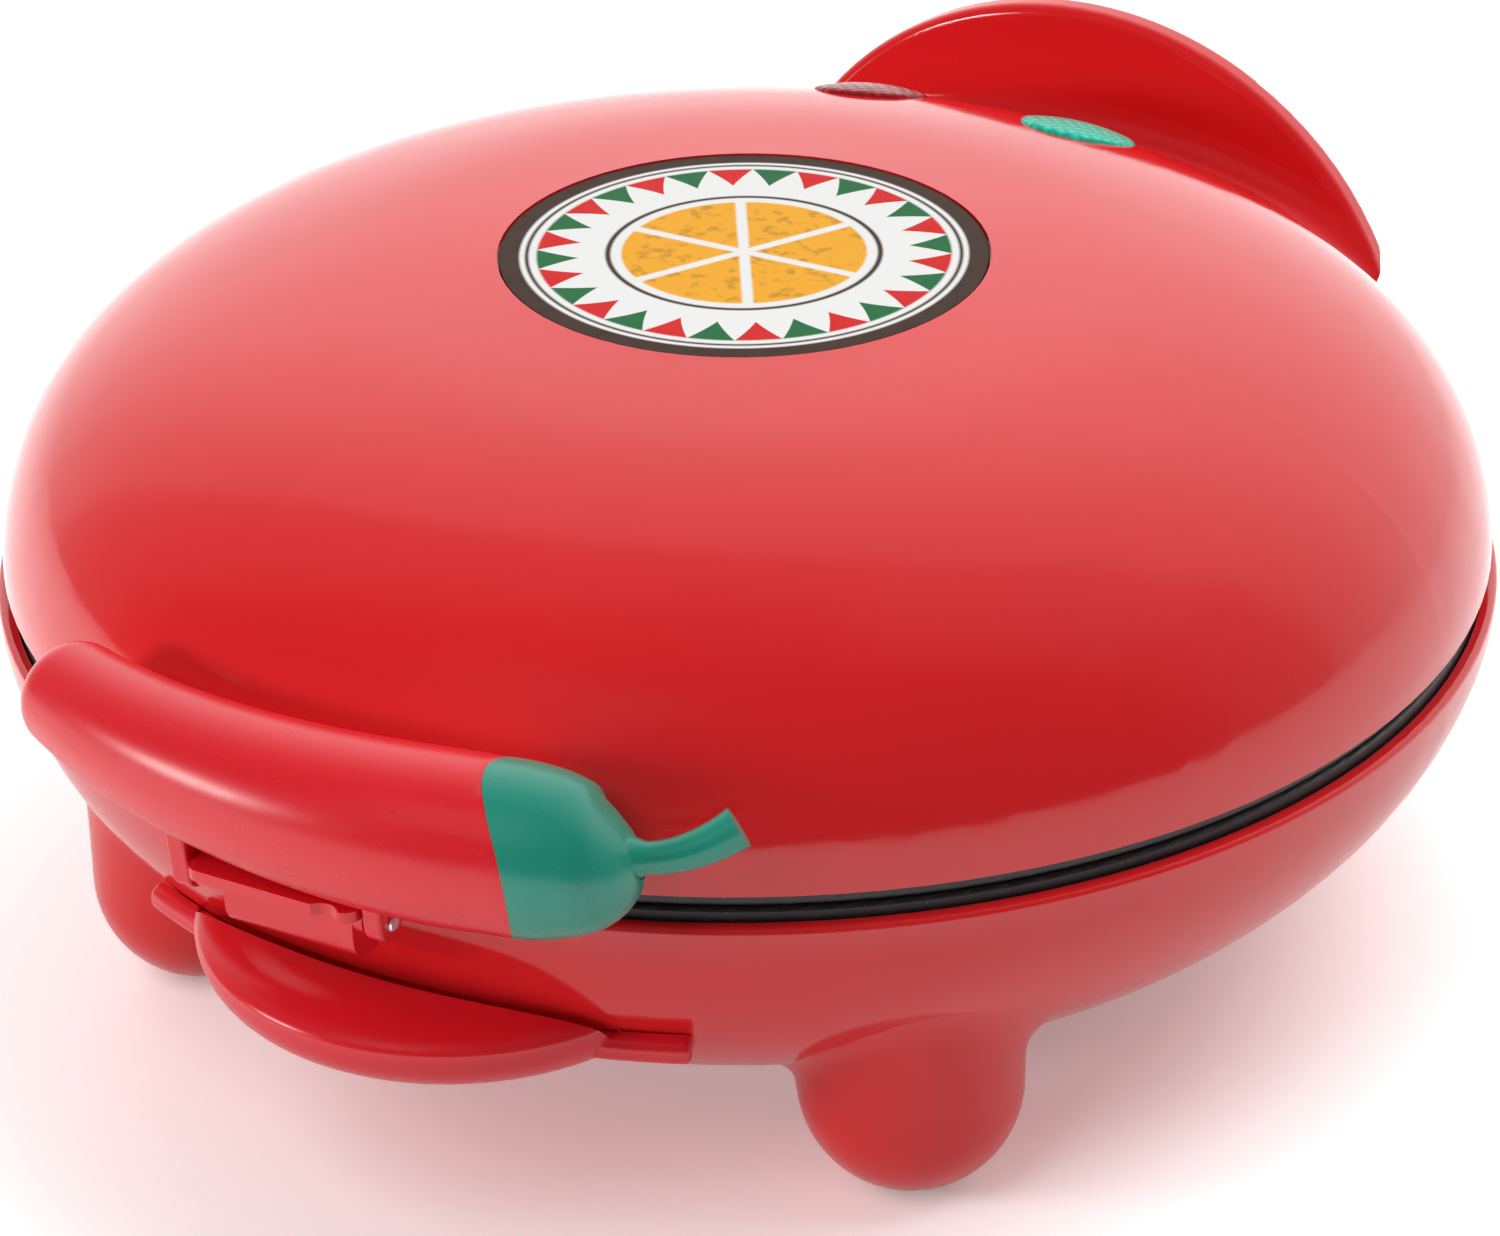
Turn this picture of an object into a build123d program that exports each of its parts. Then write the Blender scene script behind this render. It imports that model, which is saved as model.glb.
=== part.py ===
from build123d import *
from math import asin, atan2, cos, degrees, pi, radians, sin, sqrt, tan
import os

# Countertop quesadilla maker: a round base on four stub legs and a domed lid, hinged at the back,
# each with a ribbed cooking plate, heater and heat shield, a pepper-shaped handle with a swinging
# latch under it, and a crescent drip tray under the front.
# Millimetres. The front is -Y and up is +Z. Everything is built about the vertical axis of the round
# body, and main() then moves it in Y so that the origin is under the middle of the whole machine.

# Shells
WALL = 2.5                    # thickness of both moulded shells
PART_Z = 78.0                 # parting plane between lid and base, and height of the hinge axis
RIM_Z = 75.2                  # top of the base's rim
LID_EDGE_Z = 81.0             # lower edge of the lid
LID_R = 145.0                 # widest radius of the lid
LID_WAIST_Z = 76.74           # height at which the lid's curve would stand upright
LID_RISE = 59.53              # from there to the top of the dome
LID_SIDE_POWER = 3.26         # squareness of the dome's curve, sideways
LID_TOP_POWER = 2.322         # and upwards
BOWL_R = LID_R + 1.4          # widest radius of the base, at its rim
BOWL_FLOOR_R = BOWL_R - 51.4  # radius of the flat underside
BOWL_FLOOR_Z = 19.5           # height of the flat underside
BOWL_SHOULDER_Z = 73.0        # height at which the base's curve starts
BOWL_POWER = 1.65             # fullness of the base's curve
HINGE_Y = BOWL_R + 3.6         # axis of the lid's hinge
LEDGE_Z = 72.0                # shelf in the base that carries the lower plate
LEDGE_WIDTH = 4.6             # how far the shelf reaches in from the rim's inside
LEDGE_THICK = 3.0
RIM_GAP = 0.5                 # round the lower plate, inside the rim

# Legs
LEG_R = 19.65
LEG_X = 78.0
LEG_Y = 82.0
LEG_CUT_Z = 2.0               # flat end of the leg
PAD_R = 7.0                   # rubber pad under each leg
PAD_RECESS = 1.6
PAD_GAP = 0.1
LEG_LAND = 0.6                # flat ring of the leg round its pad

# Tail: hub and round fin behind the hinge, upper half on the lid and lower half on the base
HUB_HALF = 71.5               # half-width of the arched hub
HUB_RISE = 25.7               # height of the arch above the parting plane
FIN_R = 78.0
FIN_DROP = 25.0               # centre of the fin's arc, beyond the parting plane
FIN_FRONT_Y = HINGE_Y + 2.6
FIN_REAR_Y = FIN_FRONT_Y + 7.4
FIN_EDGE_FILLET = 2.4
FIN_ROOT_FILLET = 7.0
PART_GAP = 0.3                # from the parting plane to each half of the tail

# Hinge
OPEN_DEG = 95.0               # how far the lid opens
STOP_DEG = 0.75               # slack left on each half of the rear notch at full opening
KNUCKLE_R = 6.0
KNUCKLE_LENGTH = 14.0
KNUCKLE_GAP = 0.4             # between neighbouring knuckles
KNUCKLE_X = 38.6              # middle of the lid's knuckle, the base has one on either side of it
PIN_R = 2.5
PIN_FIT = 0.05                # radial clearance of hinge and latch pins
PRESS_GAP = 0.02              # round a pin or screw that is held fast
SWEEP_GAP = 0.3               # round a knuckle, in the other half

# Cooking plates, drawn face up with the rim's face at zero
PLATE_R = LID_R - 1.7
PLATE_BODY_R = PLATE_R + RIM_GAP - LEDGE_WIDTH - 1.8   # loose inside the shelf
PLATE_GAP = 0.4               # between the two rims when the lid is shut
RIB_DROP = 1.3                # from the rim's face to the top of the ribs
RIM_WIDTH = 7.0               # of the raised rim, inwards from the plate's body
POCKET_DEPTH = 6.0
POCKET_DRAFT = 12.0           # degrees
POCKET_CORNER = 5.0
WEDGES = 6
RIB_WIDTH = 5.0
CENTRE_R = 12.0               # round land in the middle, where the ribs meet
PLATE_SKIN = 3.0              # metal under the pockets
PLATE_EDGE_FILLET = 0.8
LOWER_FLANGE = PART_Z - PLATE_GAP / 2 - LEDGE_Z   # thickness that fills the space to the ledge
UPPER_FLANGE = LID_EDGE_Z - PART_Z - PLATE_GAP / 2
BOSS_R = 5.0
BOSS_LENGTH = 7.5
LOWER_SCREW_R = 70.0          # radius on which the lower plate's three screws stand
UPPER_SCREW_R = 30.0          # the upper ones are hidden under the badge

# Screws
SHANK_R = 1.9
HEAD_R = 3.8
HEAD_THICK = 2.6
BORE_SLACK = 0.4              # radial, round a screw's shank or head where it passes
GRIP = 8.0                    # of the shells' pillars, under the screw's head
BITE = 6.5                    # of the screw in the plate's boss
PILLAR_R = 6.5

# Heaters, shields and controls
HEATER_R = PLATE_BODY_R - 52.4
HEATER_TUBE_R = 3.25
HEATER_SINK = 0.8             # of the heater's tube in its groove under the plate
HEATER_SPAN = 320.0           # degrees of the circle that the heater runs round
COLD_PIN_LENGTH = 20.0
COLD_PIN_R = 2.0
SHIELD_R = PLATE_BODY_R - 13.4
SHIELD_THICK = 0.8
SHIELD_LIP = 5.0
THERMOSTAT_R = 9.0
THERMOSTAT_HEIGHT = 10.0
THERMOSTAT_Y = 26.0
FUSE_R = 2.2
FUSE_LENGTH = 12.0
FUSE_X = 34.0
BLOCK_SIZE = (34.0, 18.0, 13.0)   # terminal block
BLOCK_Y = 84.0

# Badge and lamps
BADGE_R = 46.9
BADGE_TOP_Z = 135.35
BADGE_THICK = 0.9
BADGE_GAP = 0.3
BADGE_PAD = 2.6               # shell left under the badge
LENS_R = 10.5
LENS_Y = LID_R - 42.0
LENS_X = (-25.0, 23.0)        # power and ready lamps
LENS_CROWN = 1.6              # height of the lens above the lid
LENS_EDGE = 1.5               # depth of the crown's edge in the lid
LENS_GAP = 0.25
LENS_PLUG = 6.2               # depth of the lens's plug below its edge
LENS_COLLAR_R = 7.0
LENS_COLLAR_LENGTH = 8.0
LAMP_R = 3.0
LAMP_LENGTH = 9.0
SOCKET_WALL = 1.6

# Handle
HANDLE_ARC_R = LID_R + 12.0   # centre line of the handle, round the body's axis
HANDLE_Z = 96.0
HANDLE_R = 15.4               # at its fattest
HANDLE_FAT_DEG = 4.0          # where that is, from the front towards +X
HANDLE_TAPER = 0.2            # share of the radius that is lost at the thin end
HANDLE_TIP_DEG = -22.8
HANDLE_TIP_LENGTH = 9.0
CAP_DEG = 14.2                # joint between the handle and its cap
CAP_LOBE = 7.5                # how far the cap's upper lobe reaches along the handle
CAP_NOSE_DEG = 16.5
CAP_NOSE_LENGTH = 11.0
STEM_R = 2.7                  # at the root
STEM_END_R = 3.8
STEM_LENGTH = 22.0
STEM_RISE = 5.0               # how far the stem curves upwards
STEM_LEAN = -3.0              # and outwards from the lid
SPIGOT_R = 6.0                # plug of the cap in the handle
SPIGOT_LENGTH = 9.0
SEAT_GAP = 0.15               # between the handle and the lid
HANDLE_SEAT_DEG = (-19.0, 11.0)
HANDLE_SEAT_HALF = 7.0        # half-height of the handle's seat against the lid
HANDLE_SCREW_DEG = (-14.0, 6.0)
HANDLE_SCREW_BITE = 9.0
SCREW_PAD = 3.0               # flat pad under each handle screw's head, inside the lid

# Latch
LATCH_Y = -BOWL_R - 9.1       # pivot
LATCH_Z = 76.0
LATCH_BAR_X = (-28.5, 8.5)
LATCH_FACE_X = (-20.5, 6.5)
LATCH_BARREL_R = 3.5
LATCH_PIN_R = 1.5
LATCH_THICK = 2.4
LATCH_DROP = 12.0             # from the pivot to the underside of the hook
LATCH_REACH = 8.3             # from the pivot back to the hook's lip
LATCH_LEDGE = 4.6             # finger ledge, forward of the face
LATCH_DEG = 30.0              # how far the latch swings out
EAR_THICK = 3.6
EAR_GAP = 0.6                 # between the ears and the latch
EAR_R = 3.8
KEEPER_Z = 70.0               # underside of the keeper that the hook catches
KEEPER_THICK = 3.0
KEEPER_REACH = 5.0            # of the keeper's edge behind the pivot
HOOK_GAP = 0.4                # under the keeper

# Drip tray
TRAY_R = 66.8
TRAY_CENTRE_Y = 59.2 - BOWL_R
TRAY_CORE_R = 28.0
TRAY_EDGE_Z = 42.0
TRAY_RISE = 4.5
TRAY_DROP = 13.0
TRAY_WALL = 2.0
TRAY_GAP = 0.3                # between the tray and the base
TRAY_MOUTH = 5.5              # width of the slot along the back of the tray
TRAY_MOUTH_HALF = 40.0
TONGUE_X = 30.0
TONGUE_SIZE = (14.0, 26.0, 3.0)
TONGUE_Z = 37.0
TONGUE_GAP = 0.4
TAB_SIZE = (8.0, 7.0, 6.0)
TAB_X = 56.0
TAB_Y = 23.4 - BOWL_R
TRAY_TRAVEL = 40.0

# Cord inlet, on the side of the hub
INLET_Z = 66.0
INLET_Y = HINGE_Y - 13.0
INLET_BORE_R = 3.6
INLET_BODY_R = 5.0
INLET_FLANGE_R = 7.0
INLET_FLANGE = 2.0
INLET_BOSS_R = 8.0
INLET_BOSS_X = 71.0           # flat face of the boss that the bush sits on
INLET_DEPTH = 13.0            # of the bush behind the boss's face
INLET_GAP = 0.15

FAR = 400.0                   # longer than anything in the machine


def post(x, y, z0, z1, radius):
    """Upright cylinder between two heights."""
    return Pos(x, y, (z0 + z1) / 2) * Cylinder(radius, z1 - z0)


def rod(x0, x1, y, z, radius):
    """Cylinder along X."""
    return Pos((x0 + x1) / 2, y, z) * Rot(0, 90, 0) * Cylinder(radius, x1 - x0)


def block(x, y, z):
    """Box between two limits on each axis."""
    middle = [(low + high) / 2 for low, high in (x, y, z)]
    return Pos(*middle) * Box(x[1] - x[0], y[1] - y[0], z[1] - z[0])


def below(z):
    return block((-FAR, FAR), (-FAR, FAR), (-FAR, z))


def turned(*pairs):
    """Solid of revolution of a straight-sided (radius, height) section."""
    return revolve(make_face(Polyline(*[(r, 0, z) for r, z in pairs], close=True)), Axis.Z)


def upside_down(shape):
    """Half turn about Y, for shapes that are alike on both sides."""
    return Rot(0, 180, 0) * shape


def on_circle(radius, count, start):
    """Points evenly spread round the body's axis."""
    angles = [radians(start + 360 * i / count) for i in range(count)]
    return [(radius * cos(a), radius * sin(a)) for a in angles]


# ---------------------------------------------------------------- shells

def dome_point(angle, grow):
    r = (LID_R + grow) * max(cos(angle), 0.0) ** (2 / LID_SIDE_POWER)
    z = LID_WAIST_Z + (LID_RISE + grow) * sin(angle) ** (2 / LID_TOP_POWER)
    return r, 0, z


def dome(grow, bottom):
    """Everything under the lid's curve, grown outwards by a distance, down to a height."""
    rise = max(bottom - LID_WAIST_Z, 0.0) / (LID_RISE + grow)
    start = asin(rise ** (LID_TOP_POWER / 2))
    steps = 10
    points = [dome_point(start + (pi / 2 - start) * i / steps, grow) for i in range(steps)]
    top = (0, 0, LID_WAIST_Z + LID_RISE + grow)
    curve = Spline(*points, top, tangents=((0, 0, 1), (-1, 0, 0)))
    foot = Polyline(top, (0, 0, bottom), (points[0][0], 0, bottom))
    side = [Line((points[0][0], 0, bottom), points[0])] if points[0][2] > bottom + 0.01 else []
    return revolve(make_face([curve, foot, *side]), Axis.Z)


def bowl(grow):
    """Everything inside the base's curve, grown outwards by a distance, up to the rim."""
    width = BOWL_R - BOWL_FLOOR_R + grow
    depth = BOWL_SHOULDER_Z - BOWL_FLOOR_Z + grow
    steps = 7
    power = 2 / BOWL_POWER
    angles = [pi / 2 * i / steps for i in range(steps)]
    points = [
        (BOWL_FLOOR_R + width * cos(a) ** power, 0, BOWL_SHOULDER_Z - depth * sin(a) ** power)
        for a in angles
    ]
    floor = (BOWL_FLOOR_R, 0, BOWL_SHOULDER_Z - depth)
    curve = Spline(*points, floor, tangents=((0, 0, -1), (-1, 0, 0)))
    rest = Polyline(floor, (0, 0, floor[2]), (0, 0, RIM_Z), (points[0][0], 0, RIM_Z), points[0])
    return revolve(make_face([curve, rest]), Axis.Z)


def hub(shrink, rear):
    """Arched hub of the tail, standing on the parting plane."""
    arch = Ellipse(HUB_HALF - shrink, HUB_RISE - shrink) & Pos(0, FAR / 2) * Rectangle(FAR, FAR)
    return extrude(Plane.XZ * arch, rear, dir=(0, 1, 0))


def fin():
    """Round fin behind the hub, standing on the parting plane."""
    depth = FIN_REAR_Y - FIN_FRONT_Y
    disc = Pos(0, (FIN_FRONT_Y + FIN_REAR_Y) / 2, -FIN_DROP) * Rot(90, 0, 0) * Cylinder(FIN_R, depth)
    disc = fillet(disc.edges().filter_by(GeomType.CIRCLE), FIN_EDGE_FILLET)
    return disc & block((-FAR, FAR), (0, FAR), (0, FAR))


def notch():
    """Space behind the hinge axis under one half of the tail, which lets the lid swing back."""
    slope = tan(radians(OPEN_DEG / 2 + STOP_DEG))
    reach = FIN_REAR_Y - HINGE_Y + 1
    outline = Polyline((0, HINGE_Y, 0), (0, HINGE_Y + reach, reach * slope),
                       (0, HINGE_Y + reach, -FIN_R), (0, HINGE_Y, -FIN_R), close=True)
    return extrude(make_face(outline), FAR, dir=(1, 0, 0), both=True)


def tail():
    """One half of the tail, upright on a parting plane at height zero."""
    whole = hub(0, FIN_FRONT_Y + 1) + fin()
    root = [
        e for e in whole.edges()
        if abs(e.center().Y - FIN_FRONT_Y) < 0.01 and e.bounding_box().max.Z < HUB_RISE + 0.1
        and e.bounding_box().max.Z > HUB_RISE - 0.5
    ]
    whole = fillet(root, FIN_ROOT_FILLET)
    return (whole - notch()) & block((-FAR, FAR), (0, FAR), (PART_GAP, FAR))


def knuckle_spans(lid):
    """X spans of the knuckles on the +X side that belong to the lid or to the base."""
    half = KNUCKLE_LENGTH / 2
    pitch = KNUCKLE_LENGTH + KNUCKLE_GAP
    centres = [KNUCKLE_X] if lid else [KNUCKLE_X - pitch, KNUCKLE_X + pitch]
    return [(x - half, x + half) for x in centres]


def hinge_rods(spans, margin, radius):
    """Cylinders on the hinge axis over some spans, widened by a margin, on both sides."""
    spans = [(a - margin, b + margin) for a, b in spans]
    spans += [(-b, -a) for a, b in spans]
    return [rod(a, b, HINGE_Y, PART_Z, radius) for a, b in spans]


def hinge_span():
    """X limits of the hinge pin on the +X side."""
    spans = knuckle_spans(False)
    return spans[0][0], spans[-1][1]


def hinged(shell, lid):
    """Adds one shell's knuckles and makes room for the other shell's."""
    for knuckle in hinge_rods(knuckle_spans(lid), 0, KNUCKLE_R):
        shell += knuckle
    for room in hinge_rods(knuckle_spans(not lid), KNUCKLE_GAP / 2, KNUCKLE_R + SWEEP_GAP):
        shell -= room
    for bore in hinge_rods([hinge_span()], KNUCKLE_GAP, PIN_R + PIN_FIT):
        shell -= bore
    return shell


def cavity_rear():
    return HINGE_Y - KNUCKLE_R - WALL


def lens_place(x):
    """Frame on the lid's skin at a lens, with Z along the outward normal."""
    radius = sqrt(x * x + LENS_Y * LENS_Y)
    rise = (1 - (radius / LID_R) ** LID_SIDE_POWER) ** (1 / LID_TOP_POWER)
    slope_r = LID_SIDE_POWER / LID_R * (radius / LID_R) ** (LID_SIDE_POWER - 1)
    slope_z = LID_TOP_POWER / LID_RISE * rise ** (LID_TOP_POWER - 1)
    outward = (slope_r * x / radius, slope_r * LENS_Y / radius, slope_z)
    skin = (x, LENS_Y, LID_WAIST_Z + LID_RISE * rise)
    return Location(Plane(skin, x_dir=(-LENS_Y, x, 0), z_dir=outward))


def round_the_front(angle_deg, radius, z):
    """Frame on an arc round the body, with X outwards and Z along the arc towards +X."""
    a = radians(angle_deg)
    outward = (sin(a), -cos(a), 0)
    return Plane((radius * sin(a), -radius * cos(a), z), x_dir=outward, z_dir=(cos(a), sin(a), 0))


def spoke(radius, start, end, angle_deg):
    """Level cylinder on a radius of the body, at the handle's height, between two radii."""
    place = Location(round_the_front(angle_deg, 0, HANDLE_Z))
    return place * Pos((start + end) / 2, 0, 0) * Rot(0, 90, 0) * Cylinder(radius, end - start)


def plate_depth():
    """From a plate's rim face to its underside."""
    return RIB_DROP + POCKET_DEPTH + PLATE_SKIN


def clamp_depth():
    """From the parting plane to the end of the pillars that clamp plate and shield."""
    return PLATE_GAP / 2 + plate_depth() + BOSS_LENGTH + SHIELD_THICK


def lid_side_r():
    """Radius of the lid's skin at the handle's height."""
    return dome_point(asin(((HANDLE_Z - LID_WAIST_Z) / LID_RISE) ** (LID_TOP_POWER / 2)), 0)[0]


def badge_seat_z():
    return BADGE_TOP_Z - BADGE_THICK


def lid_shell():
    shell = dome(0, LID_EDGE_Z) + (Pos(0, 0, PART_Z) * tail() - post(0, 0, 0, LID_EDGE_Z, LID_R - PART_GAP))
    hub_room = Pos(0, 0, PART_Z) * hub(WALL, cavity_rear())
    hub_room &= block((-FAR, FAR), (BOWL_FLOOR_R, FAR), (LID_EDGE_Z + WALL, FAR))
    shell -= dome(-WALL, PART_Z) + hub_room
    seat = badge_seat_z()
    shell += post(0, 0, seat - BADGE_PAD, seat + BADGE_PAD / 2, BADGE_R + WALL) & dome(-WALL / 2, PART_Z)
    foot = PART_Z + clamp_depth()
    for x, y in on_circle(UPPER_SCREW_R, 3, 90):
        shell += post(x, y, foot, seat - BADGE_PAD / 2, PILLAR_R)
        shell -= post(x, y, PART_Z, seat, SHANK_R + BORE_SLACK)
        shell -= post(x, y, foot + GRIP, seat + WALL, HEAD_R + BORE_SLACK)
    shell -= post(0, 0, seat, FAR, BADGE_R + BADGE_GAP)
    for x in LENS_X:
        shell -= lens_place(x) * Cylinder(LENS_R + LENS_GAP, 20)
    side = lid_side_r()
    for angle in HANDLE_SCREW_DEG:
        shell += spoke(HEAD_R + 2, side - WALL - SCREW_PAD, side, angle) & dome(-WALL / 2, PART_Z)
        shell -= spoke(SHANK_R + BORE_SLACK, side - 4 * WALL, side + 4 * WALL, angle)
    return hinged(shell, True)


def leg(radius, end, top):
    """Stub leg with a domed end that is cut flat at a height."""
    ball_z = LEG_CUT_Z + sqrt(LEG_R ** 2 - (PAD_R + LEG_LAND) ** 2)
    shape = post(0, 0, ball_z, top, radius) + Pos(0, 0, ball_z) * Sphere(radius)
    return shape & block((-FAR, FAR), (-FAR, FAR), (end, FAR))


def leg_places():
    return [(x, y) for x in (-LEG_X, LEG_X) for y in (-LEG_Y, LEG_Y)]


def base_shell():
    skin = bowl(0)
    skin = fillet(skin.edges().group_by(Axis.Z)[-1], WALL / 2)
    leg_top = BOWL_SHOULDER_Z - 2 * LEG_R / 3
    for x, y in leg_places():
        skin += Pos(x, y, 0) * leg(LEG_R, LEG_CUT_Z, leg_top) & bowl(LEG_R)
    rim_r = PLATE_R + RIM_GAP
    shell = skin + Pos(0, 0, PART_Z) * upside_down(tail())
    shell += rod(INLET_BOSS_X - 1.5 * INLET_DEPTH, INLET_BOSS_X, INLET_Y, INLET_Z, INLET_BOSS_R)
    hub_room = Pos(0, 0, PART_Z) * upside_down(hub(WALL, cavity_rear()))
    rooms = [
        bowl(-WALL) & below(LEDGE_Z - LEDGE_THICK),
        post(0, 0, LEDGE_Z - LEDGE_THICK - 1, FAR, rim_r - LEDGE_WIDTH),
        post(0, 0, LEDGE_Z, FAR, rim_r),
        hub_room & block((-FAR, FAR), (BOWL_FLOOR_R, FAR), (0, LEDGE_Z - LEDGE_THICK - WALL)),
    ]
    for room in rooms:
        shell -= room
    for x, y in leg_places():
        inside = leg(LEG_R - WALL, LEG_CUT_Z + PAD_RECESS + WALL, leg_top)
        shell -= Pos(x, y, 0) * inside & bowl(LEG_R - WALL)
        shell -= post(x, y, 0, LEG_CUT_Z + PAD_RECESS, PAD_R + PAD_GAP)
    foot = PART_Z - clamp_depth()
    for x, y in on_circle(LOWER_SCREW_R, 3, 0):
        shell += post(x, y, BOWL_FLOOR_Z + WALL / 2, foot, PILLAR_R)
        shell -= post(x, y, 0, PART_Z, SHANK_R + BORE_SLACK)
        shell -= post(x, y, 0, foot - GRIP, HEAD_R + BORE_SLACK)
    keeper_y = LATCH_Y + KEEPER_REACH
    middle = sum(LATCH_FACE_X) / 2
    keeper = block((middle - 12, middle + 12), (keeper_y, keeper_y + 9), (KEEPER_Z, KEEPER_Z + KEEPER_THICK))
    keeper = fillet(keeper.edges().filter_by(Axis.Z).group_by(Axis.Y)[0], 1.5)
    shell += keeper - post(0, 0, 0, FAR, rim_r + WALL / 2)
    for x in (-TONGUE_X, TONGUE_X):
        width, length, thick = TONGUE_SIZE
        shell -= block((x - width / 2 - TONGUE_GAP, x + width / 2 + TONGUE_GAP),
                       (TRAY_CENTRE_Y - TRAY_R, -90),
                       (TONGUE_Z - thick / 2 - TONGUE_GAP, TONGUE_Z + thick / 2 + TONGUE_GAP))
    shell -= rod(INLET_BOSS_X - 2 * INLET_DEPTH, FAR, INLET_Y, INLET_Z, INLET_BODY_R + INLET_GAP)
    return hinged(shell, False)


# ---------------------------------------------------------------- plates, heaters and shields
# Drawn for the base, face up with the rim's face at zero. The lid's are the same, turned over.

def on_lower(shape):
    return Pos(0, 0, PART_Z - PLATE_GAP / 2) * shape


def on_upper(shape):
    return Pos(0, 0, PART_Z + PLATE_GAP / 2) * upside_down(shape)


def wedge_pocket():
    """Pocket for one wedge, centred on +X, from the top of the ribs downwards."""
    reach = 2 * PLATE_R
    half = radians(180 / WEDGES)
    apex = RIB_WIDTH / 2 / sin(half)
    sides = make_face(Polyline((apex, 0), (reach, (reach - apex) * tan(half)),
                               (reach, -(reach - apex) * tan(half)), close=True))
    outline = (Circle(PLATE_BODY_R - RIM_WIDTH) - Circle(CENTRE_R)) & sides
    outline = fillet(outline.vertices(), POCKET_CORNER)
    return extrude(Pos(0, 0, -RIB_DROP) * outline, POCKET_DEPTH, dir=(0, 0, -1), taper=POCKET_DRAFT)


def heater_z():
    return -plate_depth() - HEATER_TUBE_R + HEATER_SINK


def cooking_plate(flange, screw_r, screw_start):
    """Ribbed plate with a flange as thick as given and three bosses for its screws."""
    depth = plate_depth()
    plate = turned((0, -depth), (PLATE_BODY_R - WALL, -depth), (PLATE_BODY_R, -depth + WALL),
                   (PLATE_BODY_R, -flange), (PLATE_R, -flange), (PLATE_R, 0), (0, 0))
    plate = fillet(plate.edges().group_by(Axis.Z)[-1], PLATE_EDGE_FILLET)
    plate -= post(0, 0, -RIB_DROP, FAR, PLATE_BODY_R - RIM_WIDTH)
    pocket = wedge_pocket()
    for i in range(WEDGES):
        plate -= Rot(0, 0, 90 + 360 * i / WEDGES) * pocket
    plate -= Pos(0, 0, heater_z()) * Torus(HEATER_R, HEATER_TUBE_R + SEAT_GAP)
    for x, y in on_circle(screw_r, 3, screw_start):
        plate += post(x, y, -depth - BOSS_LENGTH, -depth + 1, BOSS_R)
        plate -= post(x, y, -depth - BOSS_LENGTH - 1, -depth - BOSS_LENGTH + BITE, SHANK_R + PRESS_GAP)
    return plate


def heater_ends():
    """Angles of the heater's two ends, either side of the back."""
    gap = (360 - HEATER_SPAN) / 2
    return 90 - gap, 90 + gap


def plate_heater():
    """Tubular heater that runs nearly all the way round, with a cold pin turned down at each end."""
    ring = revolve(Plane.XZ * (Pos(HEATER_R, heater_z()) * Circle(HEATER_TUBE_R)), Axis.Z, HEATER_SPAN)
    shape = Rot(0, 0, heater_ends()[1]) * ring
    for angle in heater_ends():
        x, y = HEATER_R * cos(radians(angle)), HEATER_R * sin(radians(angle))
        shape += Pos(x, y, heater_z()) * Sphere(HEATER_TUBE_R)
        shape += post(x, y, heater_z() - COLD_PIN_LENGTH, heater_z(), COLD_PIN_R)
    return shape


def heat_shield(screw_r, screw_start, thermostat):
    """Thin steel dish that is clamped on the plate's bosses."""
    top = -plate_depth() - BOSS_LENGTH
    low = top - SHIELD_THICK
    inner = SHIELD_R - SHIELD_THICK
    shield = turned((0, low), (SHIELD_R, low), (SHIELD_R, top + SHIELD_LIP), (inner, top + SHIELD_LIP),
                    (inner, top), (0, top))
    for x, y in on_circle(screw_r, 3, screw_start):
        shield -= post(x, y, low - 1, top + 1, SHANK_R + BORE_SLACK)
    for x, y in [(HEATER_R * cos(radians(a)), HEATER_R * sin(radians(a))) for a in heater_ends()]:
        shield -= post(x, y, low - 1, top + 1, COLD_PIN_R + 4 * BORE_SLACK)
    if thermostat:
        shield -= post(0, THERMOSTAT_Y, low - 1, top + 1, THERMOSTAT_R + 1)
    return shield


def screw(length):
    """Pan-head screw with its shank up and the underside of its head at zero."""
    head = post(0, 0, -HEAD_THICK, 0, HEAD_R)
    head = fillet(head.edges().group_by(Axis.Z)[0], HEAD_THICK / 3)
    slot = Pos(0, 0, -HEAD_THICK) * Box(HEAD_R, 0.8, 2 * HEAD_THICK / 3)
    return head - slot - Rot(0, 0, 90) * slot + post(0, 0, -0.1, length, SHANK_R)


def plate_screws(screw_r, screw_start):
    level = PLATE_GAP / 2 - clamp_depth() - GRIP
    length = GRIP + SHIELD_THICK + BITE - 0.3
    return [Pos(x, y, level) * screw(length) for x, y in on_circle(screw_r, 3, screw_start)]


def thermostat():
    """Disc thermostat under the lower plate, with its fixing strap and two blades."""
    depth = plate_depth()
    body = post(0, THERMOSTAT_Y, -depth - THERMOSTAT_HEIGHT, -depth, THERMOSTAT_R)
    body = fillet(body.edges().group_by(Axis.Z)[0], 1)
    for x in (-THERMOSTAT_R / 2, THERMOSTAT_R / 2):
        body += block((x - 0.4, x + 0.4), (THERMOSTAT_Y - 3, THERMOSTAT_Y + 3),
                      (-depth - THERMOSTAT_HEIGHT - 8, -depth - THERMOSTAT_HEIGHT + 1))
    return on_lower(body)


def thermostat_bracket():
    """Flat strap round the thermostat, held to the plate by two screws."""
    depth = plate_depth()
    bar = SlotOverall(2 * THERMOSTAT_R + 20, 10) + Circle(THERMOSTAT_R + 3) - Circle(THERMOSTAT_R + PRESS_GAP)
    for x in (-THERMOSTAT_R - 5, THERMOSTAT_R + 5):
        bar -= Pos(x, 0) * Circle(1.5)
    return on_lower(extrude(Pos(0, THERMOSTAT_Y, -depth - 1) * bar, 1))


def thermal_fuse():
    """Axial fuse held against the lower plate by a bent clip."""
    axis_z = -plate_depth() - FUSE_R - SHIELD_THICK
    fuse = Pos(FUSE_X, 0, axis_z) * Rot(90, 0, 0) * (Cylinder(FUSE_R, FUSE_LENGTH) + Cylinder(0.6, FUSE_LENGTH + 16))
    return on_lower(fuse)


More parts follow.
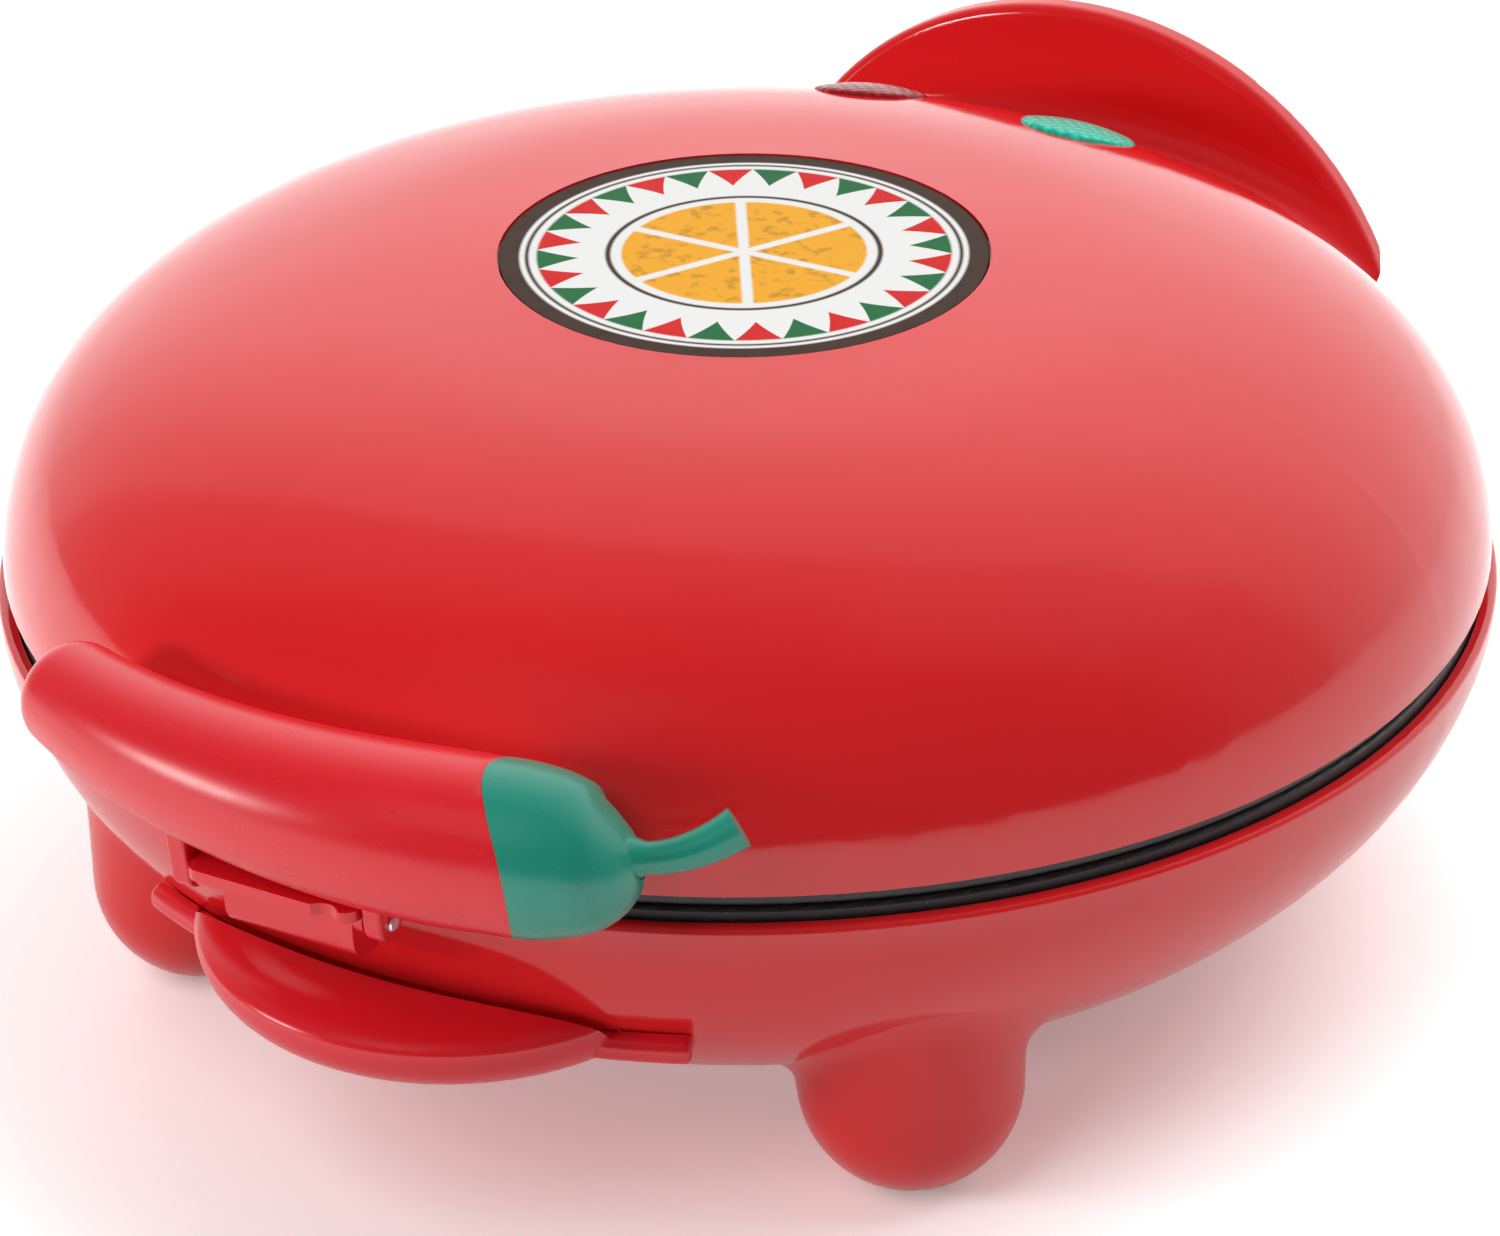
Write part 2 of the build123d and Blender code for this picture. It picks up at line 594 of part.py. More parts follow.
def fuse_clip():
    """Strap bent round the fuse, with a flat foot on either side."""
    axis_z = -plate_depth() - FUSE_R - SHIELD_THICK
    width = FUSE_LENGTH / 2
    outer, inner = FUSE_R + PRESS_GAP + SHIELD_THICK, FUSE_R + PRESS_GAP
    band = Circle(outer) + Pos(0, outer / 2) * Rectangle(2 * outer, outer)
    band += Pos(0, FUSE_R + SHIELD_THICK / 2) * Rectangle(6 * FUSE_R, SHIELD_THICK)
    band -= Circle(inner) + Pos(0, outer / 2) * Rectangle(2 * inner, outer)
    band &= Pos(0, -FAR / 2 + FUSE_R + SHIELD_THICK) * Rectangle(FAR, FAR)
    return on_lower(Pos(FUSE_X, width / 2, axis_z) * Rot(90, 0, 0) * extrude(band, width))


def terminal_block():
    """Three-way block on the base's floor."""
    width, depth, height = BLOCK_SIZE
    floor = BOWL_FLOOR_Z + WALL
    shape = block((-width / 2, width / 2), (BLOCK_Y - depth / 2, BLOCK_Y + depth / 2), (floor, floor + height))
    shape = fillet(shape.edges().filter_by(Axis.Y).group_by(Axis.Z)[-1], 1.5)
    for i in (-1, 0, 1):
        x = i * width / 3.2
        shape -= post(x, BLOCK_Y, floor + height / 2, floor + height + 1, 2.6)
        shape -= Pos(x, BLOCK_Y, floor + height / 2) * Rot(90, 0, 0) * Cylinder(2, depth + 2)
    return shape


# ---------------------------------------------------------------- badge and lamps

def badge_disc():
    disc = post(0, 0, badge_seat_z(), BADGE_TOP_Z, BADGE_R)
    return fillet(disc.edges().group_by(Axis.Z)[-1], BADGE_GAP)


def lens(x):
    """Domed lens pushed up through the lid, with a collar for its lamp socket."""
    sag = LENS_CROWN + LENS_EDGE
    ball_r = (LENS_R ** 2 + sag ** 2) / (2 * sag)
    crown = Pos(0, 0, LENS_CROWN - ball_r) * Sphere(ball_r) & post(0, 0, -LENS_EDGE, FAR, LENS_R)
    shape = crown + post(0, 0, -LENS_PLUG, -LENS_EDGE, LENS_R)
    shape += post(0, 0, -LENS_PLUG, 1.2 - LENS_PLUG, LENS_R + 2)
    shape += post(0, 0, -LENS_PLUG - LENS_COLLAR_LENGTH, -LENS_PLUG, LENS_COLLAR_R)
    shape -= post(0, 0, -LENS_PLUG - LENS_COLLAR_LENGTH - 1, -LENS_EDGE, LENS_COLLAR_R - SOCKET_WALL)
    return lens_place(x) * shape


def lamp_socket(x):
    end = -LENS_PLUG - LENS_COLLAR_LENGTH
    cup = post(0, 0, end, end + LENS_COLLAR_LENGTH, LENS_COLLAR_R - SOCKET_WALL - SEAT_GAP)
    cup += post(0, 0, end - SOCKET_WALL, end, LENS_COLLAR_R)
    return lens_place(x) * (cup - post(0, 0, end, FAR, LAMP_R + SEAT_GAP))


def lamp(x):
    end = -LENS_PLUG - LENS_COLLAR_LENGTH
    tube = post(0, 0, end, end + LAMP_LENGTH, LAMP_R) + Pos(0, 0, end + LAMP_LENGTH) * Sphere(LAMP_R)
    return lens_place(x) * tube


# ---------------------------------------------------------------- handle

def handle_radius(angle_deg):
    share = (angle_deg - HANDLE_FAT_DEG) / (HANDLE_TIP_DEG - HANDLE_FAT_DEG)
    return HANDLE_R * (1 - HANDLE_TAPER * share ** 2)


def rounded_end(radius, length):
    """Half of an egg, standing on its flat face."""
    arc = Plane.XZ * EllipticalCenterArc((0, 0), radius, length, start_angle=0, arc_size=90)
    return revolve(make_face([arc, Polyline((0, 0, length), (0, 0, 0), (radius, 0, 0))]), Axis.Z)


def pepper():
    """Whole outer form of the handle and its cap, without the stem."""
    steps = 6
    angles = [HANDLE_TIP_DEG + (CAP_NOSE_DEG - HANDLE_TIP_DEG) * i / steps for i in range(steps + 1)]
    places = [round_the_front(a, HANDLE_ARC_R, HANDLE_Z) for a in angles]
    tube = loft([p * Circle(handle_radius(a)) for p, a in zip(places, angles)])
    tip = Rot(180, 0, 0) * rounded_end(handle_radius(angles[0]), HANDLE_TIP_LENGTH)
    nose = rounded_end(handle_radius(angles[-1]), CAP_NOSE_LENGTH)
    return tube + Location(places[0]) * tip + Location(places[-1]) * nose


def cap_region():
    """Everything on the cap's side of its joint with the handle, which leans back at the top."""
    a = radians(CAP_DEG)
    middle = round_the_front(CAP_DEG, HANDLE_ARC_R, HANDLE_Z).origin
    side_view = Plane(middle, x_dir=(cos(a), sin(a), 0), z_dir=(sin(a), -cos(a), 0))
    high = HANDLE_R + 4
    lobe = Bezier((0, 0), (0, high / 2), (-CAP_LOBE / 3, high * 0.7), (-CAP_LOBE * 1.2, high))
    rest = Polyline((-CAP_LOBE * 1.2, high), (60, high), (60, -high), (0, -high), (0, 0))
    return extrude(side_view * make_face([lobe, rest]), 2 * HANDLE_R, both=True)


def sector(start_deg, end_deg, inner, outer):
    """Flat part of a ring round the front of the body, between two angles from the front."""
    corners = [(FAR * sin(radians(a)), -FAR * cos(radians(a))) for a in (start_deg, end_deg)]
    return (Circle(outer) - Circle(inner)) & make_face(Polyline((0, 0), *corners, close=True))


def ear_spans():
    """X spans of the two ears that hold the latch's pin."""
    left, right = LATCH_BAR_X[0] - EAR_GAP, LATCH_BAR_X[1] + EAR_GAP
    return (left - EAR_THICK, left), (right, right + EAR_THICK)


def spigot(clearance):
    place = Location(round_the_front(CAP_DEG, HANDLE_ARC_R, HANDLE_Z))
    return place * post(0, 0, -SPIGOT_LENGTH - clearance, 2, SPIGOT_R + clearance)


def handle_body():
    shape = pepper()
    start, end = HANDLE_SEAT_DEG
    seat = sector(start, end, LID_R - HANDLE_R, HANDLE_ARC_R)
    shape += extrude(Pos(0, 0, HANDLE_Z - HANDLE_SEAT_HALF) * seat, 2 * HANDLE_SEAT_HALF)
    for x0, x1 in ear_spans():
        shape += block((x0, x1), (LATCH_Y - EAR_R, LATCH_Y + EAR_R), (LATCH_Z, HANDLE_Z - HANDLE_R + 3))
        shape += rod(x0, x1, LATCH_Y, LATCH_Z, EAR_R)
    shape -= cap_region()
    shape -= dome(SEAT_GAP, LID_EDGE_Z)
    shape -= spigot(PRESS_GAP)
    shape -= rod(LATCH_BAR_X[0] - 20, LATCH_BAR_X[1] + 20, LATCH_Y, LATCH_Z, LATCH_PIN_R + PRESS_GAP)
    for angle in HANDLE_SCREW_DEG:
        shape -= spoke(SHANK_R + PRESS_GAP, lid_side_r() - 5, lid_side_r() + HANDLE_SCREW_BITE + 1, angle)
    return shape


def handle_cap():
    """Green cap and curved stem, with a spigot that plugs into the handle."""
    cap = pepper() & cap_region()
    root_place = Location(round_the_front(CAP_NOSE_DEG, HANDLE_ARC_R, HANDLE_Z))
    cap += root_place * post(0, 0, CAP_NOSE_LENGTH - 2, CAP_NOSE_LENGTH + 1, STEM_R + 1.3)
    steps = 5
    rings = []
    for i in range(steps + 1):
        t = i / steps
        rise, lean = STEM_RISE * t ** 2, STEM_LEAN * t ** 1.5
        tilt = degrees(atan2(2 * STEM_RISE * t, STEM_LENGTH))
        turn = degrees(atan2(1.5 * STEM_LEAN * t ** 0.5, STEM_LENGTH))
        centre = Pos(-lean, rise, CAP_NOSE_LENGTH - 3 + STEM_LENGTH * t)
        radius = STEM_R + (STEM_END_R - STEM_R) * t ** 2
        rings.append(root_place * centre * Rot(-tilt, -turn, 0) * Circle(radius))
    cap += loft(rings)
    return cap - dome(SEAT_GAP, LID_EDGE_Z) + spigot(0)


def handle_screws():
    """Screws from inside the lid into the handle's seat."""
    screws = []
    head_r = lid_side_r() - WALL - SCREW_PAD
    for angle in HANDLE_SCREW_DEG:
        place = Location(round_the_front(angle, head_r, HANDLE_Z))
        length = lid_side_r() + HANDLE_SCREW_BITE - head_r
        screws.append(place * Rot(0, 90, 0) * screw(length))
    return screws


# ---------------------------------------------------------------- latch

def latch_outline():
    """Side view of the latch's face and hook, from its pivot; X runs back to the base."""
    drop, reach, thick = LATCH_DROP, LATCH_REACH, LATCH_THICK
    front = -LATCH_BARREL_R - 1
    lip_top = KEEPER_Z - HOOK_GAP - LATCH_Z
    points = [
        (front + thick, 0), (front + thick, thick - drop + 1.5), (front + thick + 1.5, thick - drop),
        (reach - thick, thick - drop), (reach - thick, lip_top), (reach, lip_top),
        (reach, 2 - drop), (reach - 2, -drop), (front + 2.6, -drop), (front, 4 - drop), (front, 0),
    ]
    return make_face(Polyline(*points, close=True))


def latch():
    side = Plane((0, LATCH_Y, LATCH_Z), x_dir=(0, 1, 0), z_dir=(1, 0, 0))
    x0, x1 = LATCH_FACE_X
    face = extrude(side * latch_outline(), x1 - x0)
    shape = Pos(x0, 0, 0) * face
    a, b = LATCH_BAR_X
    shape += rod(a, b, LATCH_Y, LATCH_Z, LATCH_BARREL_R)
    front = LATCH_Y - LATCH_BARREL_R - 1
    ledge = block((a, b), (front - LATCH_LEDGE, LATCH_Y), (LATCH_Z - LATCH_THICK, LATCH_Z))
    ledge = fillet(ledge.edges().filter_by(Axis.Z).group_by(Axis.Y)[0], 3)
    shape += ledge
    return shape - rod(a - 1, b + 1, LATCH_Y, LATCH_Z, LATCH_PIN_R + PIN_FIT)


def latch_pin():
    (start, _), (_, end) = ear_spans()
    pin = rod(start - 0.6, end + 0.6, LATCH_Y, LATCH_Z, LATCH_PIN_R)
    return chamfer(pin.edges().filter_by(GeomType.CIRCLE), 0.3)


# ---------------------------------------------------------------- drip tray

def pillow(shrink):
    """Round cushion that the tray's lip is cut from."""
    reach = TRAY_R - TRAY_CORE_R - shrink
    up, down = TRAY_RISE - shrink, TRAY_DROP - shrink
    over = Plane.XZ * EllipticalCenterArc((TRAY_CORE_R, 0), reach, up, start_angle=0, arc_size=90)
    under = Plane.XZ * EllipticalCenterArc((TRAY_CORE_R, 0), reach, down, start_angle=270, arc_size=90)
    sides = Polyline((TRAY_CORE_R, 0, up), (0, 0, up), (0, 0, -down), (TRAY_CORE_R, 0, -down))
    return Pos(0, TRAY_CENTRE_Y, TRAY_EDGE_Z) * revolve(make_face([over, under, sides]), Axis.Z)


def drip_tray():
    """Crescent cup against the base's front, open along its back, on two tongues."""
    inner = bowl(TRAY_GAP + TRAY_WALL)
    shape = pillow(0)
    for x in (-1, 1):
        tab = Box(*TAB_SIZE)
        tab = fillet(tab.edges(), 1.5)
        shape += Pos(x * TAB_X, TAB_Y, TRAY_EDGE_Z - 1) * tab
    shape -= pillow(TRAY_WALL) - inner
    mouth = bowl(TRAY_GAP + TRAY_WALL + TRAY_MOUTH) - inner
    shape -= mouth & block((-TRAY_MOUTH_HALF, TRAY_MOUTH_HALF), (-FAR, 0), (TRAY_EDGE_Z - 2, RIM_Z))
    shape -= bowl(TRAY_GAP)
    width, length, thick = TONGUE_SIZE
    for x in (-TONGUE_X, TONGUE_X):
        root_y = -sqrt(bowl_r(TONGUE_Z) ** 2 - x ** 2) - TRAY_WALL / 2
        shape += block((x - width / 2, x + width / 2), (root_y, root_y + length),
                       (TONGUE_Z - thick / 2, TONGUE_Z + thick / 2))
    return shape


def bowl_r(z):
    """Radius of the base's skin at a height."""
    share = (BOWL_SHOULDER_Z - z) / (BOWL_SHOULDER_Z - BOWL_FLOOR_Z)
    return BOWL_FLOOR_R + (BOWL_R - BOWL_FLOOR_R) * (1 - share ** BOWL_POWER) ** (1 / BOWL_POWER)


# ---------------------------------------------------------------- feet, pins and cord inlet

def foot_pads():
    pad = post(0, 0, 0, LEG_CUT_Z + PAD_RECESS, PAD_R)
    pad = fillet(pad.edges().group_by(Axis.Z)[0], 0.6)
    return [Pos(x, y, 0) * pad for x, y in leg_places()]


def hinge_pins():
    start, end = hinge_span()
    pin = rod(start, end, HINGE_Y, PART_Z, PIN_R)
    pin = chamfer(pin.edges().filter_by(GeomType.CIRCLE), 0.4)
    return [pin, Pos(-start - end, 0, 0) * pin]


def cord_inlet():
    """Bush for the cord, with its flange on the flat boss."""
    face = INLET_BOSS_X
    bush = rod(face - INLET_DEPTH, face, INLET_Y, INLET_Z, INLET_BODY_R)
    bush += rod(face, face + INLET_FLANGE, INLET_Y, INLET_Z, INLET_FLANGE_R)
    bush = fillet(bush.edges().group_by(Axis.X)[-1], 0.8)
    return bush - rod(face - FAR, face + FAR, INLET_Y, INLET_Z, INLET_BORE_R)


# ---------------------------------------------------------------- the machine

def machine():
    """Every node by name, as a list of its separate solids."""
    lower = (LOWER_FLANGE, LOWER_SCREW_R, 0)
    upper = (UPPER_FLANGE, UPPER_SCREW_R, 90)
    nodes = {
        "base_shell": base_shell(),
        "lower_plate": on_lower(cooking_plate(*lower)),
        "lower_heater": on_lower(plate_heater()),
        "lower_heat_shield": on_lower(heat_shield(LOWER_SCREW_R, 0, True)),
        "lower_plate_screws": [on_lower(s) for s in plate_screws(LOWER_SCREW_R, 0)],
        "thermostat": thermostat(),
        "thermostat_bracket": thermostat_bracket(),
        "thermal_fuse": thermal_fuse(),
        "fuse_clip": fuse_clip(),
        "terminal_block": terminal_block(),
        "foot_pads": foot_pads(),
        "hinge_pins": hinge_pins(),
        "cord_inlet": cord_inlet(),
        "drip_tray": drip_tray(),
        "lid_shell": lid_shell(),
        "upper_plate": on_upper(cooking_plate(*upper)),
        "upper_heater": on_upper(plate_heater()),
        "upper_heat_shield": on_upper(heat_shield(UPPER_SCREW_R, 90, False)),
        "upper_plate_screws": [on_upper(s) for s in plate_screws(UPPER_SCREW_R, 90)],
        "badge_disc": badge_disc(),
        "power_lens": lens(LENS_X[0]),
        "ready_lens": lens(LENS_X[1]),
        "lamp_sockets": [lamp_socket(x) for x in LENS_X],
        "indicator_lamps": [lamp(x) for x in LENS_X],
        "handle_body": handle_body(),
        "handle_cap": handle_cap(),
        "handle_screws": handle_screws(),
        "latch_pin": latch_pin(),
        "latch": latch(),
    }
    return {name: shape if isinstance(shape, list) else [shape] for name, shape in nodes.items()}


def origin_shift(nodes):
    """Distance in Y that brings the origin under the middle of the machine."""
    boxes = [solid.bounding_box() for solids in nodes.values() for solid in solids]
    return -(min(b.min.Y for b in boxes) + max(b.max.Y for b in boxes)) / 2


def main():
    os.makedirs("parts", exist_ok=True)
    nodes = machine()
    shift = origin_shift(nodes)
    for name, solids in nodes.items():
        placed = [Pos(0, shift, 0) * solid for solid in solids]
        export_step(Compound(placed) if len(placed) > 1 else placed[0], f"parts/{name}.step")


if __name__ == "__main__":
    main()
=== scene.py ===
"""Countertop quesadilla maker: handle, latch, tray, legs, lenses, finishes and studio stage."""
from math import asin, cos, hypot, pi, radians, sin, sqrt

import bpy
from mathutils import Matrix, Vector


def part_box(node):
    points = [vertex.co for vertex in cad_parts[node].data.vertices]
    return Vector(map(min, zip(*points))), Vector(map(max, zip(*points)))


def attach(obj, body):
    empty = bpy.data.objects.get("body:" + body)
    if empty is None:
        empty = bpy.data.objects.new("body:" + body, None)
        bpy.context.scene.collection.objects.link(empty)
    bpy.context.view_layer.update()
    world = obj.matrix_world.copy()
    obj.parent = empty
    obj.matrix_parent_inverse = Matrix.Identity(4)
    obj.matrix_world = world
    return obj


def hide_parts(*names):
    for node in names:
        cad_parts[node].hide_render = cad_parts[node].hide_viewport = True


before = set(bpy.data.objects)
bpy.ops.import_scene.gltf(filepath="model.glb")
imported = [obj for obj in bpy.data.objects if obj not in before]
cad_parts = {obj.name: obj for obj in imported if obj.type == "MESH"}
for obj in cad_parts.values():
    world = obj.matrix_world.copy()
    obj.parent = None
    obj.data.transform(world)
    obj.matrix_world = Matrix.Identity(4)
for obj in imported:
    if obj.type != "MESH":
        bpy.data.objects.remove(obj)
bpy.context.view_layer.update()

bl_info = {
    "name": "Quesadilla maker",
    "version": (1, 0, 0),
    "blender": (4, 5, 0),
    "location": "3D View > Sidebar > Cooker",
    "description": "Finishes a countertop quesadilla maker and sets a studio stage round it",
    "category": "Object",
}

MM = 0.001
BADGE_LOW, BADGE_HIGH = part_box("badge_disc")
BADGE_CENTRE = (BADGE_LOW + BADGE_HIGH) / 2
AXIS_Y = BADGE_CENTRE.y / MM     # of the round body; the sizes of the new pieces are in millimetres
LATCH_Y = AXIS_Y - 155.5         # pivot of the latch
LATCH_Z = 76.0

HANDLE_ARC = 156.0               # radius of the handle's middle line round the body
HANDLE_Z = 95.2
TIP_ANGLE = -21.0                # where the handle's rounded tip starts, from the front
CAP_ANGLE = 13.0                 # where the nose starts to close in
NOSE_ANGLE = 18.7                # where the middle line leaves the arc and runs straight on


# ---------------------------------------------------------------- sizes and colours

def colour_property(name, description, default):
    return bpy.props.FloatVectorProperty(
        name=name, description=description, default=default, subtype="COLOR", size=3, min=0, max=1)


class CookerColours(bpy.types.PropertyGroup):
    """Colours of the cooker's finishes."""
    shell: colour_property("Shells", "Glossy red of the lid and the base", (0.80, 0.018, 0.022))
    trim: colour_property("Trim", "Red of the handle, latch and tray", (0.80, 0.014, 0.026))
    cap: colour_property("Cap", "Green of the handle's cap and stem", (0.016, 0.30, 0.21))
    coating: colour_property("Coating", "Non-stick coating of the plates", (0.018, 0.018, 0.020))
    ring: colour_property("Badge ring", "Ring and outlines of the badge", (0.045, 0.014, 0.004))
    field: colour_property("Badge field", "Ground of the badge", (0.90, 0.90, 0.88))
    yellow: colour_property("Badge yellow", "Middle of the badge", (0.95, 0.43, 0.008))
    leaf: colour_property("Badge green", "Every other pennant", (0.0, 0.15, 0.035))
    ember: colour_property("Badge red", "The pennants between", (0.72, 0.0, 0.0))
    red_lens: colour_property("Power lens", "Tint of the power lamp's lens", (0.34, 0.012, 0.018))
    green_lens: colour_property("Ready lens", "Tint of the ready lamp's lens", (0.02, 0.62, 0.44))
    floor: colour_property("Floor", "Floor of the studio", (0.90, 0.90, 0.90))


class CookerSizes(bpy.types.PropertyGroup):
    """Sizes of the pieces that are modelled here, and of the stage."""
    pennants: bpy.props.IntProperty(
        name="Pennants", description="Number of pennants round the badge", default=28, min=8, max=60)
    slices: bpy.props.IntProperty(
        name="Slices", description="Slices in the middle of the badge", default=6, min=3, max=12)
    floor_size: bpy.props.FloatProperty(
        name="Floor", description="Side of the square floor", default=12.0, unit="LENGTH")
    handle_radius: bpy.props.FloatProperty(
        name="Handle", description="Radius of the handle at its fattest", default=0.0151,
        unit="LENGTH")
    stem_length: bpy.props.FloatProperty(
        name="Stem", description="Length of the cap's stem", default=0.0165, unit="LENGTH")
    stem_flare: bpy.props.FloatProperty(
        name="Stem flare", description="How much the stem widens to its end", default=0.001,
        unit="LENGTH")
    leg_radius: bpy.props.FloatProperty(
        name="Leg", description="Radius of a leg", default=0.0209, unit="LENGTH")
    leg_fillet: bpy.props.FloatProperty(
        name="Leg fillet", description="Size of the rounding between a leg and the base",
        default=0.006, unit="LENGTH")
    lens_radius: bpy.props.FloatProperty(
        name="Lens", description="Radius of a lens", default=0.0122, unit="LENGTH")
    key_power: bpy.props.FloatProperty(
        name="Key light", description="Power of the soft light overhead", default=6.5,
        subtype="POWER")
    front_power: bpy.props.FloatProperty(
        name="Front light", description="Power of the soft light above the front", default=6.0,
        subtype="POWER")
    strip_power: bpy.props.FloatProperty(
        name="Strip light", description="Power of the small light at the front left", default=5.5,
        subtype="POWER")
    wall: bpy.props.FloatProperty(
        name="Rear wall", description="Strength of the bright wall behind the cooker", default=1.4)
    room: bpy.props.FloatProperty(
        name="Room", description="Strength of the dim room in front", default=0.1)


# ---------------------------------------------------------------- node helpers

class Finish:
    """One procedural material, with short calls for its nodes."""

    def __init__(self, name):
        self.material = bpy.data.materials.new(name)
        self.material.use_nodes = True
        self.nodes = self.material.node_tree.nodes
        self.links = self.material.node_tree.links
        self.shader = self.nodes["Principled BSDF"]
        self.place = self.nodes.new("ShaderNodeTexCoord").outputs["Object"]

    def set(self, **values):
        for key, value in values.items():
            self.shader.inputs[key.replace("_", " ")].default_value = value
        return self

    def join(self, socket, target):
        if isinstance(target, str):
            target = self.shader.inputs[target]
        self.links.new(socket, target)
        return self

    def mapped(self, location=(0, 0, 0), rotation=(0, 0, 0), scale=(1, 1, 1)):
        node = self.nodes.new("ShaderNodeMapping")
        node.inputs["Location"].default_value = location
        node.inputs["Rotation"].default_value = rotation
        node.inputs["Scale"].default_value = scale
        self.links.new(self.place, node.inputs["Vector"])
        return node.outputs["Vector"]

    def noise(self, scale, detail=2.0, roughness=0.5, place=None):
        node = self.nodes.new("ShaderNodeTexNoise")
        node.inputs["Scale"].default_value = scale
        node.inputs["Detail"].default_value = detail
        node.inputs["Roughness"].default_value = roughness
        self.links.new(place or self.place, node.inputs["Vector"])
        return node.outputs["Fac"]

    def spread(self, socket, low, high, start=0.3, end=0.7):
        """Maps a noise to a range of values."""
        node = self.nodes.new("ShaderNodeMapRange")
        for key, value in (("From Min", start), ("From Max", end), ("To Min", low), ("To Max", high)):
            node.inputs[key].default_value = value
        self.links.new(socket, node.inputs["Value"])
        return node.outputs["Result"]

    def math(self, operation, a, b=None):
        node = self.nodes.new("ShaderNodeMath")
        node.operation = operation
        for i, value in enumerate((a, b)):
            if value is None:
                continue
            if isinstance(value, (int, float)):
                node.inputs[i].default_value = value
            else:
                self.links.new(value, node.inputs[i])
        return node.outputs[0]

    def blend(self, factor, a, b):
        """Mixes two colours, each a tuple or a socket."""
        node = self.nodes.new("ShaderNodeMix")
        node.data_type = "RGBA"
        self.links.new(factor, node.inputs[0])
        for i, value in ((6, a), (7, b)):
            if isinstance(value, tuple):
                node.inputs[i].default_value = (*value[:3], 1)
            else:
                self.links.new(value, node.inputs[i])
        return node.outputs[2]

    def bump(self, socket, distance, strength=1.0, under=None):
        node = self.nodes.new("ShaderNodeBump")
        node.inputs["Distance"].default_value = distance
        node.inputs["Strength"].default_value = strength
        self.links.new(socket, node.inputs["Height"])
        if under is not None:
            self.links.new(under, node.inputs["Normal"])
        return node.outputs["Normal"]


def shade(colour, share):
    return tuple(min(1.0, c * share) for c in colour)


def moulded_plastic(name, colour, roughness=0.2, change=0.05):
    """Glossy moulded plastic: slow changes of shade, faint ripple of the mould, fine dust marks."""
    finish = Finish(name)
    slow = finish.noise(7.0, 2.0)
    finish.join(finish.blend(finish.spread(slow, 0, 1), shade(colour, 1 - change),
                             shade(colour, 1 + change)), "Base Color")
    fine = finish.noise(420.0, 3.0, 0.6)
    finish.join(finish.spread(fine, roughness - 0.01, roughness + 0.02), "Roughness")
    ripple = finish.bump(finish.noise(55.0, 1.0), 0.00002, 0.35)
    finish.join(finish.bump(fine, 0.000002, 0.3, ripple), "Normal")
    finish.set(IOR=1.5)
    return finish.material


def plate_coating(name, colour):
    """Matt non-stick coating on cast metal, with a fine pebble and pale specks."""
    finish = Finish(name)
    specks = finish.nodes.new("ShaderNodeTexVoronoi")
    specks.inputs["Scale"].default_value = 700.0
    finish.links.new(finish.place, specks.inputs["Vector"])
    factor = finish.spread(specks.outputs["Distance"], 1, 0, 0.06, 0.16)
    patchy = finish.blend(finish.spread(finish.noise(12.0, 3.0), 0, 1), colour, shade(colour, 1.7))
    finish.join(finish.blend(factor, patchy, shade(colour, 6.0)), "Base Color")
    pebble = finish.noise(900.0, 2.0)
    finish.join(finish.spread(pebble, 0.38, 0.52), "Roughness")
    finish.join(finish.bump(pebble, 0.00004, 0.6), "Normal")
    finish.set(IOR=1.45)
    return finish.material


def metal(name, colour, roughness, stretch=(1, 1, 1), tint=None):
    """Bare metal with drawn or rolled marks, and a heat tint where one is given."""
    finish = Finish(name)
    marks = finish.noise(60.0, 3.0, 0.6, finish.mapped(scale=stretch))
    base = finish.blend(finish.spread(marks, 0, 1), shade(colour, 0.9), shade(colour, 1.06))
    if tint:
        base = finish.blend(finish.spread(finish.noise(24.0, 2.0), 0, 1, 0.45, 0.75), base, tint)
    finish.join(base, "Base Color")
    finish.join(finish.spread(marks, roughness - 0.06, roughness + 0.08), "Roughness")
    finish.join(finish.bump(marks, 0.00001, 0.5), "Normal")
    finish.set(Metallic=1.0)
    return finish.material


def ceramic(name, colour, roughness=0.35):
    """White ceramic or heat-resistant plastic, faintly mottled."""
    finish = Finish(name)
    mottle = finish.noise(150.0, 4.0, 0.6)
    finish.join(finish.blend(finish.spread(mottle, 0, 1), shade(colour, 0.93), colour), "Base Color")
    finish.join(finish.spread(mottle, roughness - 0.05, roughness + 0.1), "Roughness")
    finish.join(finish.bump(mottle, 0.00003, 0.4), "Normal")
    return finish.material


def rubber(name, colour):
    """Soft black rubber with a dusty, finely pitted skin."""
    finish = Finish(name)
    pits = finish.noise(1100.0, 3.0, 0.7)
    dust = finish.spread(finish.noise(90.0, 3.0), 0, 0.35)
    finish.join(finish.blend(dust, colour, shade(colour, 2.4)), "Base Color")
    finish.join(finish.spread(pits, 0.62, 0.8), "Roughness")
    finish.join(finish.bump(pits, 0.00005, 0.7), "Normal")
    return finish.material


def lens_plastic(name, colour, node):
    """Tinted lens with a fine prism lattice across its crown; its colour is painted lighter on the
    prism crests and darker in the grooves, a painted light and shade of the relief.
    """
    finish = Finish(name)
    low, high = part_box(node)
    centre = (low + high) / 2
    lattice = []
    for turn in (45, -45):
        wave = finish.nodes.new("ShaderNodeTexWave")
        wave.wave_profile = "TRI"
        wave.inputs["Scale"].default_value = 140.0
        finish.links.new(finish.mapped(rotation=(0, 0, radians(turn)),
                                       location=(-centre.x, -centre.y, 0)), wave.inputs["Vector"])
        lattice.append(wave.outputs["Fac"])
    height = finish.math("MINIMUM", *lattice)
    # painted light and shade: the tint is lighter on the lattice's crests and darker in its grooves
    finish.join(finish.blend(finish.spread(height, 0, 1, 0.0, 0.8), shade(colour, 0.72),
                             shade(colour, 1.25)), "Base Color")
    finish.join(finish.bump(height, 0.0003, 0.45), "Normal")
    finish.join(finish.spread(finish.noise(300.0), 0.16, 0.24), "Roughness")
    finish.set(IOR=1.5, Specular_IOR_Level=0.12)
    return finish.material


